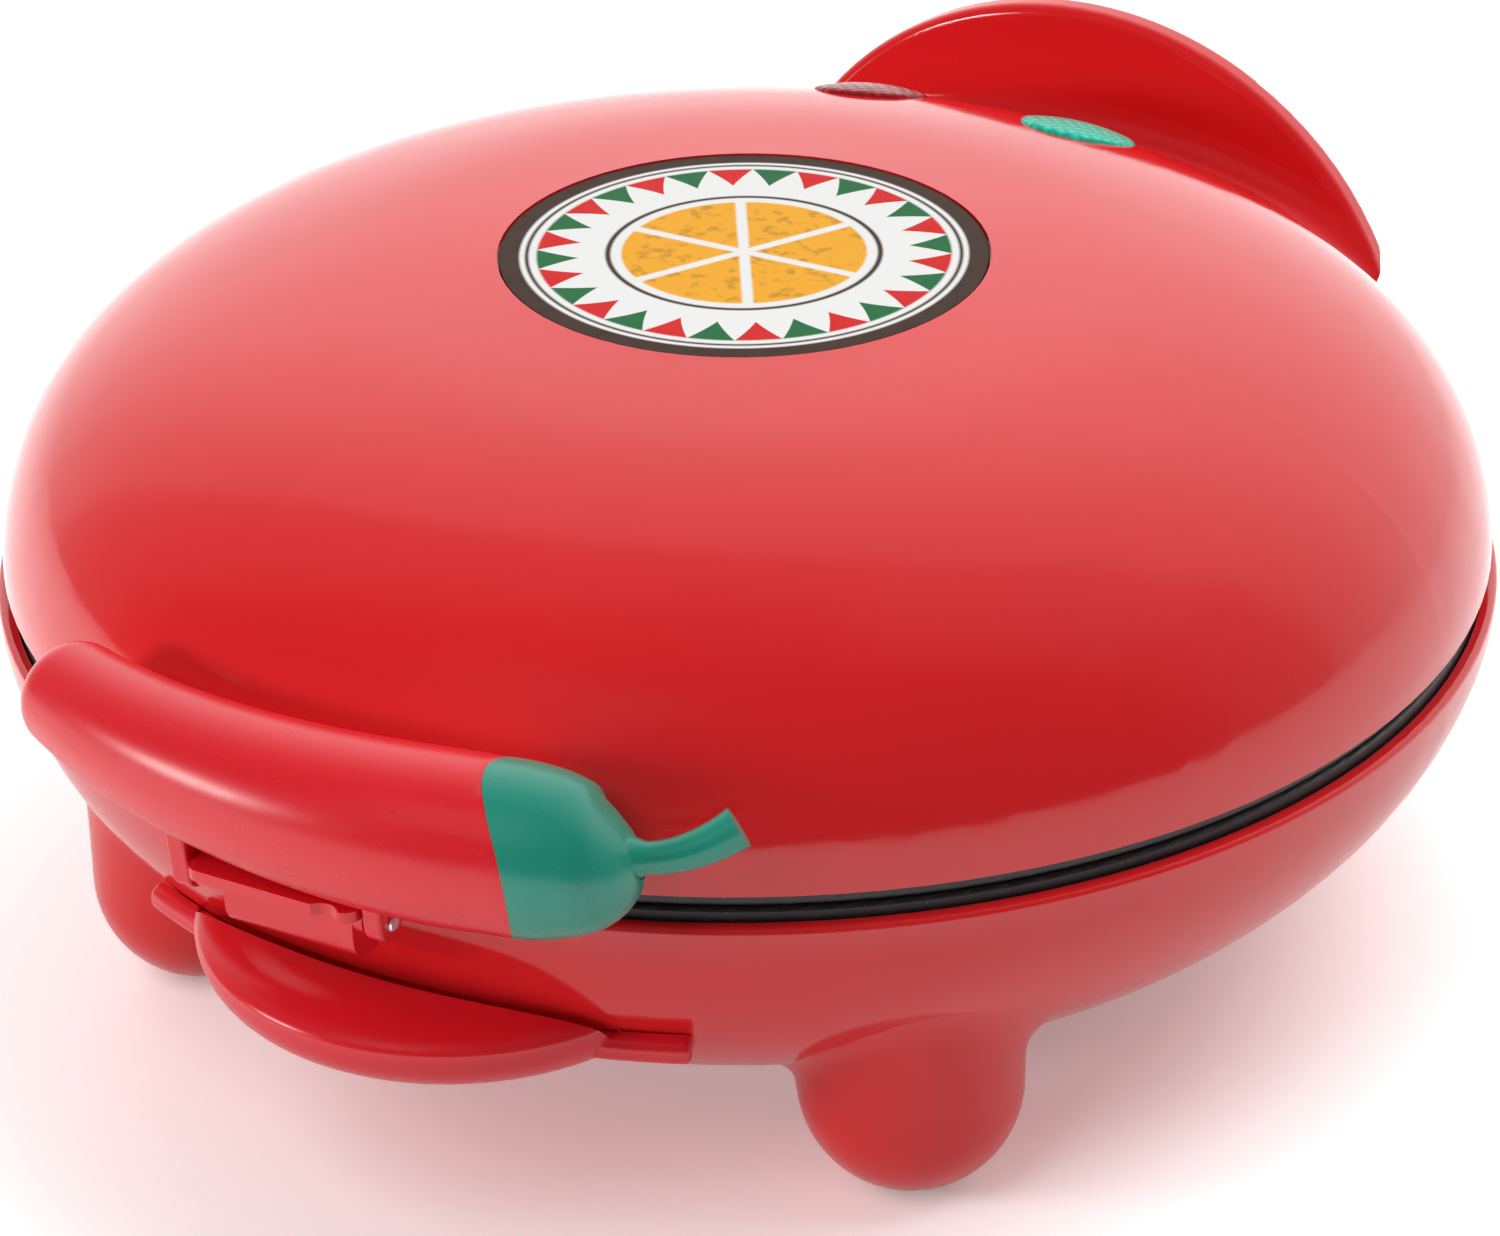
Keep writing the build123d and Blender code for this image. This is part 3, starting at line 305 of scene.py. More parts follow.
def lamp_glass(name):
    """Clear glass of the small lamps, with a faint smoky change."""
    finish = Finish(name)
    cloud = finish.noise(200.0, 2.0)
    finish.join(finish.blend(finish.spread(cloud, 0, 1), (0.95, 0.85, 0.72), (0.98, 0.93, 0.88)),
                "Base Color")
    finish.join(finish.spread(cloud, 0.02, 0.08), "Roughness")
    finish.set(Transmission_Weight=0.9, IOR=1.48)
    return finish.material


def badge_print(name, colours, sizes):
    """Printed disc: a round cut in slices, inside a ring of pennants and an outer band."""
    finish = Finish(name)
    radius = (BADGE_HIGH.x - BADGE_LOW.x) / 2
    split = finish.nodes.new("ShaderNodeSeparateXYZ")
    finish.links.new(finish.mapped(location=(-BADGE_CENTRE.x / radius, -BADGE_CENTRE.y / radius, 0),
                                   scale=(1 / radius,) * 3), split.inputs[0])
    x, y = split.outputs["X"], split.outputs["Y"]
    reach = finish.math("SQRT", finish.math("ADD", finish.math("MULTIPLY", x, x),
                                            finish.math("MULTIPLY", y, y)))
    turn = finish.math("ADD", finish.math("DIVIDE", finish.math("ARCTAN2", y, x), 2 * pi), 0.5)

    def edge(value, at, soft=0.006):
        """One above a limit and zero below it, with a soft printed edge."""
        return finish.spread(value, 0, 1, at - soft, at + soft)

    share = finish.math("MULTIPLY", turn, float(sizes.pennants))
    wave = finish.math("PINGPONG", finish.math("FRACT", share), 0.5)
    odd = finish.math("MODULO", finish.math("FLOOR", share), 2.0)
    depth = finish.math("ADD", finish.math("MULTIPLY", wave, -0.34), 0.845)
    pennant = finish.math("MULTIPLY", finish.spread(finish.math("SUBTRACT", reach, depth), 0, 1,
                                                    -0.004, 0.004),
                          finish.math("SUBTRACT", 1.0, edge(reach, 0.845)))
    cloth = finish.blend(odd, tuple(colours.leaf), tuple(colours.ember))
    base = finish.blend(pennant, tuple(colours.field), cloth)

    slice_turn = finish.math("FRACT", finish.math("MULTIPLY", turn, float(sizes.slices)))
    across = finish.math("MULTIPLY", finish.math("PINGPONG", slice_turn, 0.5),
                         2 * pi / sizes.slices)
    gap = finish.math("MULTIPLY", across, reach)
    baked = finish.spread(finish.noise(330.0, 2.0), 0, 0.55, 0.55, 0.68)
    crust = finish.blend(baked, tuple(colours.yellow), shade(colours.yellow, 0.45))
    middle = finish.math("MULTIPLY", edge(gap, 0.022),
                         finish.math("SUBTRACT", 1.0, edge(reach, 0.50)))
    base = finish.blend(middle, base, crust)
    for at, width in ((0.555, 0.011), (0.885, 0.008)):
        line = finish.math("SUBTRACT", edge(reach, at - width), edge(reach, at + width))
        base = finish.blend(line, base, tuple(colours.ring))
    base = finish.blend(edge(reach, 0.915), base, tuple(colours.ring))
    finish.join(base, "Base Color")
    finish.join(finish.spread(finish.noise(260.0, 2.0), 0.3, 0.4), "Roughness")
    finish.join(finish.bump(finish.noise(700.0, 2.0), 0.000008, 0.4), "Normal")
    finish.set(Specular_IOR_Level=0.06)
    return finish.material


# ---------------------------------------------------------------- mesh helpers

def clear_selection():
    if bpy.context.object and bpy.context.object.mode != "OBJECT":
        bpy.ops.object.mode_set(mode="OBJECT")
    bpy.ops.object.select_all(action="DESELECT")


def make_active(piece):
    clear_selection()
    piece.select_set(True)
    bpy.context.view_layer.objects.active = piece


def pick(piece, kind, test):
    """Selects, in edit mode, just the faces or edges whose middle, in millimetres, passes a test."""
    bpy.ops.object.mode_set(mode="EDIT")
    bpy.ops.mesh.select_mode(type=kind)
    bpy.ops.mesh.select_all(action="DESELECT")
    bpy.ops.object.mode_set(mode="OBJECT")
    mesh = piece.data
    for part in (mesh.polygons if kind == "FACE" else mesh.edges):
        spots = [piece.matrix_world @ mesh.vertices[i].co / MM for i in part.vertices]
        part.select = test(spots)
    bpy.ops.object.mode_set(mode="EDIT")


def settle(piece, angle=35):
    """Merges what coincides, turns faces outwards, and leaves the place in the mesh."""
    make_active(piece)
    bpy.ops.object.mode_set(mode="EDIT")
    bpy.ops.mesh.select_all(action="SELECT")
    bpy.ops.mesh.remove_doubles(threshold=0.001 * MM)
    bpy.ops.mesh.normals_make_consistent(inside=False)
    bpy.ops.object.mode_set(mode="OBJECT")
    bpy.ops.object.transform_apply(location=True, rotation=True, scale=True)
    bpy.ops.object.shade_smooth_by_angle(angle=radians(angle))
    return piece


def lathe(name, outline, along="Z", place=(0, 0, 0), steps=64):
    """Solid spun round an axis from points of (distance along the axis, radius)."""
    clear_selection()
    spots = [Vector((r, 0, s) if along == "Z" else (s, 0, r)) * MM for s, r in outline]
    bpy.ops.mesh.primitive_plane_add(size=MM, location=spots[0])
    piece = bpy.context.object
    piece.name = piece.data.name = name
    bpy.ops.object.mode_set(mode="EDIT")
    bpy.ops.mesh.select_mode(type="VERT")
    bpy.ops.mesh.merge(type="CENTER")
    for start, end in zip(spots, spots[1:]):
        bpy.ops.mesh.extrude_region_move(TRANSFORM_OT_translate={"value": end - start})
    bpy.ops.mesh.select_all(action="SELECT")
    bpy.ops.mesh.spin(steps=steps, angle=2 * pi, center=(0, 0, 0),
                      axis=(0, 0, 1) if along == "Z" else (1, 0, 0))
    bpy.ops.object.mode_set(mode="OBJECT")
    bpy.ops.transform.translate(value=Vector(place) * MM)
    return settle(piece)


def brick(name, low, high):
    """Box between two corners."""
    clear_selection()
    low, high = Vector(low) * MM, Vector(high) * MM
    bpy.ops.mesh.primitive_cube_add(size=1, location=(low + high) / 2, scale=high - low)
    piece = bpy.context.object
    piece.name = piece.data.name = name
    bpy.ops.object.transform_apply(location=True, rotation=True, scale=True)
    return piece


def prism(name, outline, low, high):
    """Bar along X with a side view of (y, z) points, between two values of x."""
    clear_selection()
    spots = [Vector((low, y, z)) * MM for y, z in outline]
    bpy.ops.mesh.primitive_plane_add(size=MM, location=spots[0])
    piece = bpy.context.object
    piece.name = piece.data.name = name
    bpy.ops.object.mode_set(mode="EDIT")
    bpy.ops.mesh.select_mode(type="VERT")
    bpy.ops.mesh.merge(type="CENTER")
    for start, end in zip(spots, spots[1:]):
        bpy.ops.mesh.extrude_region_move(TRANSFORM_OT_translate={"value": end - start})
    bpy.ops.mesh.select_all(action="SELECT")
    bpy.ops.mesh.edge_face_add()
    bpy.ops.mesh.select_all(action="SELECT")
    bpy.ops.mesh.extrude_region_move(TRANSFORM_OT_translate={"value": ((high - low) * MM, 0, 0)})
    return settle(piece)


def combine(piece, other, operation):
    """Applies a boolean with another piece, which is then deleted."""
    make_active(piece)
    modifier = piece.modifiers.new("combine", "BOOLEAN")
    modifier.operation = operation
    modifier.solver = "EXACT"
    modifier.object = other
    bpy.ops.object.modifier_apply(modifier=modifier.name)
    make_active(other)
    bpy.ops.object.delete()
    make_active(piece)
    return piece


def soften(piece, width, segments=3, angle=35):
    """Rounds every edge that is sharper than an angle."""
    make_active(piece)
    modifier = piece.modifiers.new("soften", "BEVEL")
    modifier.width = width * MM
    modifier.segments = segments
    modifier.limit_method = "ANGLE"
    modifier.angle_limit = radians(angle)
    modifier.harden_normals = False
    bpy.ops.object.modifier_apply(modifier=modifier.name)
    return settle(piece)


def keep_sector(piece, start, end):
    """Cuts a ring round the body down to the part between two angles from the front."""
    make_active(piece)
    bpy.ops.object.mode_set(mode="EDIT")
    for angle, side in ((start, 1), (end, -1)):
        bpy.ops.mesh.select_all(action="SELECT")
        bpy.ops.mesh.bisect(plane_co=(0, AXIS_Y * MM, 0), use_fill=True, clear_inner=True,
                            plane_no=(side * cos(radians(angle)), side * sin(radians(angle)), 0))
    bpy.ops.object.mode_set(mode="OBJECT")
    return settle(piece)


def hand_over(piece, material, body, *nodes):
    """Gives a finished piece its material and its body, and hides the nodes it stands in for."""
    piece.data.materials.clear()
    piece.data.materials.append(material)
    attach(piece, body)
    if nodes:
        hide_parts(*nodes)
    return piece


def finish_node(node, material):
    """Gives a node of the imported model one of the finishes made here."""
    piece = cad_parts[node]
    piece.data.materials.clear()
    piece.data.materials.append(material)
    return piece


# ---------------------------------------------------------------- forms of the new pieces

def front_place(angle, radius, z):
    """Point on an arc round the body, by its angle in degrees from the front."""
    return Vector((radius * sin(radians(angle)), AXIS_Y - radius * cos(radians(angle)), z))


def pepper_stations():
    """Middle and radius of each section of the handle, from its thin tip to the end of the stem."""
    sizes = bpy.context.scene.cooker_sizes
    fat = sizes.handle_radius / MM

    def thin(angle):
        return abs(angle - 10.0) / 31.0      # share of the way from the fattest place to the tip

    def place(angle):
        swing = min(1.0, max(0.0, (angle - 11.0) / 7.7))
        return front_place(angle, HANDLE_ARC + 2.2 * swing ** 2,
                           HANDLE_Z + 1.8 * thin(min(angle, 10.0)) ** 3)

    def radius(angle):
        return fat * (1 - 0.33 * thin(angle) ** 1.4)

    stations = []
    start = place(TIP_ANGLE)
    ahead = Vector((cos(radians(TIP_ANGLE)), sin(radians(TIP_ANGLE)), -0.05))
    for i in range(9):
        turn = radians(90 * i / 9)
        stations.append((start - ahead * 7.5 * cos(turn), radius(TIP_ANGLE) * sin(turn)))
    for i in range(30):
        angle = TIP_ANGLE + 34.0 * i / 30
        stations.append((place(angle), radius(angle)))
    root, on_arc, nose = place(NOSE_ANGLE), 15.5, 24.3
    ahead = Vector((cos(radians(NOSE_ANGLE)), sin(radians(NOSE_ANGLE)), 0))
    inward, up = Vector((-ahead.y, ahead.x, 0)), Vector((0, 0, 1))
    for i in range(19):
        length = 23.75 * sin(radians(90 * i / 18))
        beyond = max(0.0, length - on_arc)
        middle = place(CAP_ANGLE + 5.7 * min(1.0, length / on_arc)) + ahead * beyond
        stations.append((middle + up * 1.6 * (beyond / 8.3) ** 2,
                         radius(CAP_ANGLE) * (1 - (length / nose) ** 2.6) ** 0.52))
    for i in range(1, 11):
        share = i / 10
        bend = inward * 3.6 * share ** 2 + up * (1.6 + 5.2 * share ** 2)
        stations.append((root + ahead * (8.25 + sizes.stem_length / MM * share) + bend,
                         2.6 + sizes.stem_flare / MM * share ** 1.5))
    return stations


def straight_pepper(name, grow=0.0):
    """The handle's whole form, unbent along X."""
    stations = pepper_stations()
    lengths = [0.0]
    for (a, _), (b, _) in zip(stations, stations[1:]):
        lengths.append(lengths[-1] + (b - a).length)
    outline = [(s, r + grow if r else 0.0) for s, (_, r) in zip(lengths, stations)]
    outline.append((lengths[-1], 0.0))
    return lathe(name, outline, along="X", steps=72)


def cap_boundary():
    """Block whose rounded end cuts the cap's lobes, unbent as the pepper is."""
    end, middle, half = 107.0, -3.5, 24.0
    block = brick("cap_boundary", (-20, -40, middle - half), (end, 40, middle + half))
    pick(block, "EDGE", lambda spots: all(abs(p.x - end) < 0.1 for p in spots)
         and abs(spots[0].z - spots[1].z) < 0.1)
    bpy.ops.mesh.bevel(offset=(half - 0.02) * MM, segments=32, affect="EDGES")
    return settle(block)


def bend_along_handle(piece):
    """Bends a straight piece round the lid with a path through the handle's stations."""
    spots = [spot for spot, _ in pepper_stations()]
    bpy.ops.curve.primitive_nurbs_path_add()
    path = bpy.context.object
    path.data.dimensions = "3D"
    path.data.twist_mode = "Z_UP"
    path.data.splines.clear()
    line = path.data.splines.new("POLY")
    line.points.add(len(spots) - 1)
    for point, spot in zip(line.points, spots):
        point.co = (*(spot * MM), 1)
    make_active(piece)
    modifier = piece.modifiers.new("bend", "CURVE")
    modifier.object = path
    modifier.deform_axis = "POS_X"
    bpy.ops.object.modifier_apply(modifier=modifier.name)
    make_active(path)
    bpy.ops.object.delete()
    return settle(piece, 50)


BOWL = {"rim": 146.4, "floor": 95.0, "floor_z": 19.5, "shoulder_z": 73.0, "power": 1.65}
DOME = {"rim": 145.0, "waist_z": 76.74, "rise": 59.53, "side_power": 3.26, "top_power": 2.322}
LENS_X = {"power_lens": -25.0, "ready_lens": 23.0}
LENS_Y = 103.0                   # of both lenses, behind the body's axis
LEG_PLACE = (77.6, -83.0)


def bowl_radius(z):
    """Radius of the base's skin at a height."""
    share = max(0.0, (BOWL["shoulder_z"] - z) / (BOWL["shoulder_z"] - BOWL["floor_z"]))
    return BOWL["floor"] + (BOWL["rim"] - BOWL["floor"]) * (
        1 - min(1.0, share) ** BOWL["power"]) ** (1 / BOWL["power"])


def bowl_height(radius):
    """Height of the base's skin at a radius."""
    share = (radius - BOWL["floor"]) / (BOWL["rim"] - BOWL["floor"])
    share = min(1.0, max(0.0, share))
    return BOWL["shoulder_z"] - (BOWL["shoulder_z"] - BOWL["floor_z"]) * (
        1 - share ** BOWL["power"]) ** (1 / BOWL["power"])


def bowl_solid(gap):
    """The base's round form, grown by a gap, to cut the tray with."""
    heights = [BOWL["floor_z"] + (BOWL["shoulder_z"] - BOWL["floor_z"]) * (i / 40) ** 2
               for i in range(41)]
    outline = [(heights[0] - gap, 0.0), (heights[0] - gap, BOWL["floor"])]
    outline += [(z, bowl_radius(z) + gap) for z in heights] + [(90.0, BOWL["rim"] + gap), (90.0, 0.0)]
    return lathe("bowl", outline, place=(0, AXIS_Y, 0), steps=180)


# ---------------------------------------------------------------- pieces

class COOKER_OT_shells(bpy.types.Operator):
    """Red shells of the lid and the base."""
    bl_idname = "cooker.shells"
    bl_label = "Lid and base shells"

    def execute(self, context):
        red = moulded_plastic("gloss_red_shell", tuple(context.scene.cooker_colours.shell), 0.1)
        for node in ("lid_shell", "base_shell"):
            finish_node(node, red)
        return {"FINISHED"}


class COOKER_OT_handle(bpy.types.Operator):
    """Pepper-shaped handle with its green cap, its seat on the lid and the ears for the latch."""
    bl_idname = "cooker.handle"
    bl_label = "Handle and cap"
    ears = ((-28.0, -24.2), (11.2, 14.8))

    def execute(self, context):
        colours = context.scene.cooker_colours
        red = moulded_plastic("gloss_red_handle", tuple(colours.trim), 0.28)
        body = combine(straight_pepper("handle_grip"), cap_boundary(), "INTERSECT")
        hand_over(bend_along_handle(body), red, "lid", "handle_body")
        cap = combine(straight_pepper("handle_green_cap", 0.12), cap_boundary(), "DIFFERENCE")
        green = moulded_plastic("gloss_green_cap", tuple(colours.cap), 0.26)
        hand_over(bend_along_handle(cap), green, "lid", "handle_cap")
        ring = [(84.5, 141.8), (97.0, 141.0), (97.0, 152.0), (84.5, 152.0), (84.5, 141.8)]
        seat = keep_sector(lathe("handle_seat", ring, place=(0, AXIS_Y, 0), steps=180), -15.0, 11.0)
        hand_over(soften(seat, 0.8), red, "lid")
        for i, (low, high) in enumerate(self.ears):
            outline = [(LATCH_Y + 3.6 * cos(radians(a)), LATCH_Z + 3.6 * sin(radians(a)))
                       for a in range(180, 361, 15)]
            outline += [(LATCH_Y + 5.2, 88.0), (LATCH_Y - 5.2, 88.0)]
            hand_over(soften(prism(f"latch_ear_{i + 1}", outline, low, high), 0.5), red, "lid")
        pin = lathe("latch_axle", [(-28.7, 0), (-28.7, 1.2), (-28.4, 1.5), (15.2, 1.5), (15.5, 1.2),
                                   (15.5, 0)], along="X", place=(0, LATCH_Y, LATCH_Z), steps=32)
        hand_over(pin, metal("axle_zinc", (0.66, 0.67, 0.69), 0.28, stretch=(14, 1, 1)), "lid",
                  "latch_pin")
        return {"FINISHED"}


class COOKER_OT_front(bpy.types.Operator):
    """Latch and drip tray."""
    bl_idname = "cooker.front"
    bl_label = "Latch and drip tray"

    def execute(self, context):
        red = moulded_plastic("gloss_red_front", tuple(context.scene.cooker_colours.trim), 0.24)
        hand_over(self.latch(), red, "latch", "latch")
        hand_over(self.tray(), red, "drip_tray", "drip_tray")
        return {"FINISHED"}

    def latch(self):
        """Face plate with its hook, barrel and finger ledge."""

        def arc(radius, start, end):
            step = 15 if end > start else -15
            return [(LATCH_Y + 2.5 + radius * cos(radians(a)), 72.3 + radius * sin(radians(a)))
                    for a in range(start, end + step // 15, step)]

        top = [(LATCH_Y - 1.1, 79.0), (LATCH_Y - 3.0, 79.0)]
        shape = prism("latch_face", [*top, *arc(5.5, 180, 330), *arc(3.6, 315, 180)], -17.6, 8.6)
        plate = [(LATCH_Y + 1.5, 79.0), top[1], *arc(5.5, 180, 330), (LATCH_Y + 4.9, 69.7),
                 (LATCH_Y + 2.5, 72.0)]
        combine(shape, prism("end_plate", plate, 7.0, 8.6), "UNION")
        barrel = lathe("barrel", [(-23.6, 0), (-23.6, 3.0), (10.6, 3.0), (10.6, 0)], along="X",
                       place=(0, LATCH_Y, LATCH_Z), steps=32)
        combine(shape, barrel, "UNION")
        ledge = brick("ledge", (-23.6, LATCH_Y - 6.2, 77.4), (10.6, LATCH_Y + 0.5, 79.6))
        pick(ledge, "EDGE", lambda spots: all(p.y < LATCH_Y - 6 for p in spots)
             and abs(spots[0].x - spots[1].x) < 0.1)
        bpy.ops.mesh.bevel(offset=2.6 * MM, segments=8, affect="EDGES")
        settle(ledge)
        scoop = lathe("scoop", [(70.0, 0), (70.0, 3.2), (85.0, 3.2), (85.0, 0)],
                      place=(5.2, LATCH_Y - 7.9, 0), steps=48)
        combine(shape, combine(ledge, scoop, "DIFFERENCE"), "UNION")
        bore = lathe("bore", [(-40, 0), (-40, 1.6), (20, 1.6), (20, 0)], along="X",
                     place=(0, LATCH_Y, LATCH_Z), steps=32)
        return soften(combine(shape, bore, "DIFFERENCE"), 0.3, 2)

    def tray(self):
        """Crescent cup against the base, with a grip at each end."""
        radius, edge_z, centre_y = 48.4, 49.0, AXIS_Y - 110.4
        outline = [(5.4, 0.0), (5.2, 15.0), (4.7, 30.0)]
        outline += [(4.7 * cos(radians(a)), 30.0 + 18.4 * sin(radians(a)) ** 0.75)
                    for a in range(6, 90, 6)]
        outline += [(-10.0 * sin(radians(a)), 38.0 + 10.4 * cos(radians(a))) for a in range(0, 91, 6)]
        outline += [(-10.3, 20.0), (-10.4, 0.0)]
        tray = lathe("tray_cup", outline, place=(0, centre_y, edge_z), steps=144)
        for side in (-1, 1):
            start, end = sorted((side * 14.0, side * 24.0))
            out = bowl_radius(44.5) + 5.4
            ring = [(41.6, 118.0), (48.4, 118.0), (47.6, out - 1.6), (46.0, out), (43.4, out),
                    (42.2, out - 1.6), (41.6, 118.0)]
            grip = keep_sector(lathe("grip", ring, place=(0, AXIS_Y, 0), steps=180), start, end)
            combine(tray, soften(grip, 1.8, 4), "UNION")
        mouth = combine(bowl_solid(2.5), brick("room", (-44, -400, edge_z - 2.0), (44, 400, 100)),
                        "INTERSECT")
        combine(tray, mouth, "DIFFERENCE")
        combine(tray, bowl_solid(0.3), "DIFFERENCE")
        return soften(tray, 0.5, 2, 50)


class COOKER_OT_lamps(bpy.types.Operator):
    """Lenses, sockets and bulbs of the two lamps."""
    bl_idname = "cooker.lamps"
    bl_label = "Lamps"

    def execute(self, context):
        colours = context.scene.cooker_colours
        for node, tint in (("power_lens", colours.red_lens), ("ready_lens", colours.green_lens)):
            material = lens_plastic(f"prism_{node}", tuple(tint), node)
            hand_over(self.lens(f"{node}_crown", LENS_X[node]), material, "lid", node)
        finish_node("lamp_sockets", ceramic("socket_white", (0.72, 0.71, 0.66), 0.45))
        finish_node("indicator_lamps", lamp_glass("bulb_glass"))
        return {"FINISHED"}

    def lens(self, name, x):
        """Crown with a rounded rim, square to the lid's skin."""
        r = bpy.context.scene.cooker_sizes.lens_radius / MM
        outline = [(1.75 - 1.35 * (q / 10) ** 2, (r - 1.0) * q / 10) for q in range(11)]
        outline += [(0.1, r - 0.4), (-0.5, r), (-2.4, r), (-2.4, 0)]
        piece = lathe(name, outline, steps=72)
        side, top = DOME["side_power"], DOME["top_power"]
        reach = hypot(x, LENS_Y)
        rise = (1 - (reach / DOME["rim"]) ** side) ** (1 / top)
        slope = side / DOME["rim"] * (reach / DOME["rim"]) ** (side - 1)
        outward = Vector((slope * x / reach, slope * LENS_Y / reach,
                          top / DOME["rise"] * rise ** (top - 1)))
        piece.rotation_mode = "QUATERNION"
        piece.rotation_quaternion = outward.to_track_quat("Z", "Y")
        piece.location = Vector((x, AXIS_Y + LENS_Y, DOME["waist_z"] + DOME["rise"] * rise)) * MM
        return settle(piece)


class COOKER_OT_badge(bpy.types.Operator):
    """Round badge with its printed design."""
    bl_idname = "cooker.badge"
    bl_label = "Badge"

    def execute(self, context):
        scene = context.scene
        printed = badge_print("badge_print", scene.cooker_colours, scene.cooker_sizes)
        finish_node("badge_disc", printed)
        return {"FINISHED"}


class COOKER_OT_works(bpy.types.Operator):
    """Cooking plates and everything inside the shells."""
    bl_idname = "cooker.works"
    bl_label = "Plates and inner works"

    def execute(self, context):
        coating = plate_coating("plate_coating", tuple(context.scene.cooker_colours.coating))
        sheath = metal("heater_sheath", (0.42, 0.39, 0.35), 0.38, tint=(0.30, 0.22, 0.13))
        sheet = metal("shield_sheet", (0.60, 0.60, 0.61), 0.34, stretch=(1, 18, 1))
        zinc = metal("zinc_plate", (0.66, 0.67, 0.69), 0.28, tint=(0.62, 0.60, 0.52))
        case = metal("fuse_case", (0.68, 0.68, 0.68), 0.3, stretch=(1, 12, 1))
        white = ceramic("white_ceramic", (0.74, 0.73, 0.68))
        groups = {
            coating: ("lower_plate", "upper_plate"),
            sheath: ("lower_heater", "upper_heater"),
            sheet: ("lower_heat_shield", "upper_heat_shield", "thermostat_bracket", "fuse_clip"),
            zinc: ("lower_plate_screws", "upper_plate_screws", "handle_screws", "hinge_pins"),
            case: ("thermal_fuse",),
            white: ("thermostat", "terminal_block"),
        }
        for material, nodes in groups.items():
            for node in nodes:
                finish_node(node, material)
        return {"FINISHED"}


class COOKER_OT_legs(bpy.types.Operator):
    """Four domed legs with a soft root where they leave the base."""
    bl_idname = "cooker.legs"
    bl_label = "Legs"

    def execute(self, context):
        red = moulded_plastic("gloss_red_legs", tuple(context.scene.cooker_colours.shell), 0.2)
        first = self.leg(*LEG_PLACE)
        for i, (x, y) in enumerate(((1, 1), (-1, 1), (1, -1), (-1, -1))):
            make_active(first)
            bpy.ops.object.duplicate()
            leg = context.object
            leg.name = leg.data.name = f"leg_{i + 1}"
            leg.scale = (x, y, 1)
            leg.location = (0, AXIS_Y * MM, 0)
            hand_over(settle(leg), red, "base")
        make_active(first)
        bpy.ops.object.delete()
        return {"FINISHED"}

    def leg(self, x, y):
        """One leg, with its root drawn out over the base's skin, before the body's place is added."""
        sizes = bpy.context.scene.cooker_sizes
        r, fillet = sizes.leg_radius / MM, sizes.leg_fillet / MM
        ball_z, foot, rings = 20.5, 7.15, 9
        outline = [(3.2, 0), (3.2, foot), (1.5, foot)]
        low = sqrt(r * r - (ball_z - 1.5) ** 2)
        first = asin(low / r)
        for turn in [first + (pi / 2 - first) * i / 14 for i in range(15)]:
            outline.append((ball_z - r * cos(turn), r * sin(turn)))
        outline += [(21 + i * 0.01, r) for i in range(rings)] + [(30, r), (30, 0)]
        piece = lathe("leg", outline, place=(x, y, 0), steps=96)
        for vertex in piece.data.vertices:
            level = (vertex.co.z / MM - 21) / 0.01
            away = Vector((vertex.co.x / MM - x, vertex.co.y / MM - y, 0))
            if level < -0.5 or level > 1000 or away.length < 1:
                continue
            away.normalize()

            def skin(reach):
                return bowl_height(hypot(x + away.x * reach, y + away.y * reach))

            share = min(1.0, level / (rings - 1))
            corner_z = skin(r)
            start, end = Vector((r, corner_z - fillet)), Vector((r + fillet, skin(r + fillet) + 0.35))
            corner = Vector((r, corner_z))
            spot = start * (1 - share) ** 2 + corner * 2 * share * (1 - share) + end * share ** 2
            if level > rings:
                spot = Vector((r - 3, skin(r - 3) + 2.0))
            vertex.co = Vector((x + away.x * spot.x, y + away.y * spot.x, spot.y)) * MM
        return settle(piece)


class COOKER_OT_feet(bpy.types.Operator):
    """Rubber pads under the legs and the bush of the cord inlet."""
    bl_idname = "cooker.feet"
    bl_label = "Feet and cord inlet"

    def execute(self, context):
        black = rubber("black_rubber", (0.014, 0.014, 0.015))
        for node in ("foot_pads", "cord_inlet"):
            finish_node(node, black)
        return {"FINISHED"}


# ---------------------------------------------------------------- stage

CAMERA_PLACE = Vector((0.390595, -0.713216, 0.504020))
CAMERA_AHEAD = Vector((-0.41816, 0.77092, -0.48045)).normalized()
CAMERA_ROLL = -0.0113
CAMERA_LENS = 112.517
WALL_SIDE = (-0.208, 0.978, 0)   # from the cooker towards the middle of the bright wall
SEEN_PAPER = (1.22, 1.34, 1.34)  # floor as the camera sees it, against the red thrown on it
# glow added to the floor, weak within 0.15 m of its middle and full beyond 0.26 m: a painted shade
# round the cooker
SEEN_LIFT_AND_PAINTED_SHADE = (("From Min", 0.15), ("From Max", 0.26), ("To Min", 0.2), ("To Max", 0.8))


def add_camera():
    right = CAMERA_AHEAD.cross(Vector((0, 0, 1))).normalized()
    up = right.cross(CAMERA_AHEAD)
    turned = right * cos(CAMERA_ROLL) + up * sin(CAMERA_ROLL)
    raised = up * cos(CAMERA_ROLL) - right * sin(CAMERA_ROLL)
    bpy.ops.object.camera_add()
    camera = bpy.context.object
    camera.name = "studio_camera"
    camera.data.lens = CAMERA_LENS
    camera.data.sensor_width = 36.0
    camera.data.clip_end = 50.0
    matrix = Matrix((turned, raised, -CAMERA_AHEAD)).transposed().to_4x4()
    matrix.translation = CAMERA_PLACE
    camera.matrix_world = matrix
    bpy.context.scene.camera = camera


def add_softbox(name, place, aim, size, power):
    """Rectangular area light that faces a point."""
    bpy.ops.object.light_add(type="AREA", location=place)
    lamp = bpy.context.object
    lamp.name = name
    lamp.data.shape = "RECTANGLE"
    lamp.data.size, lamp.data.size_y = size
    lamp.data.energy = power
    lamp.rotation_mode = "QUATERNION"
    lamp.rotation_quaternion = (Vector(aim) - Vector(place)).to_track_quat("-Z", "Y")
    return lamp


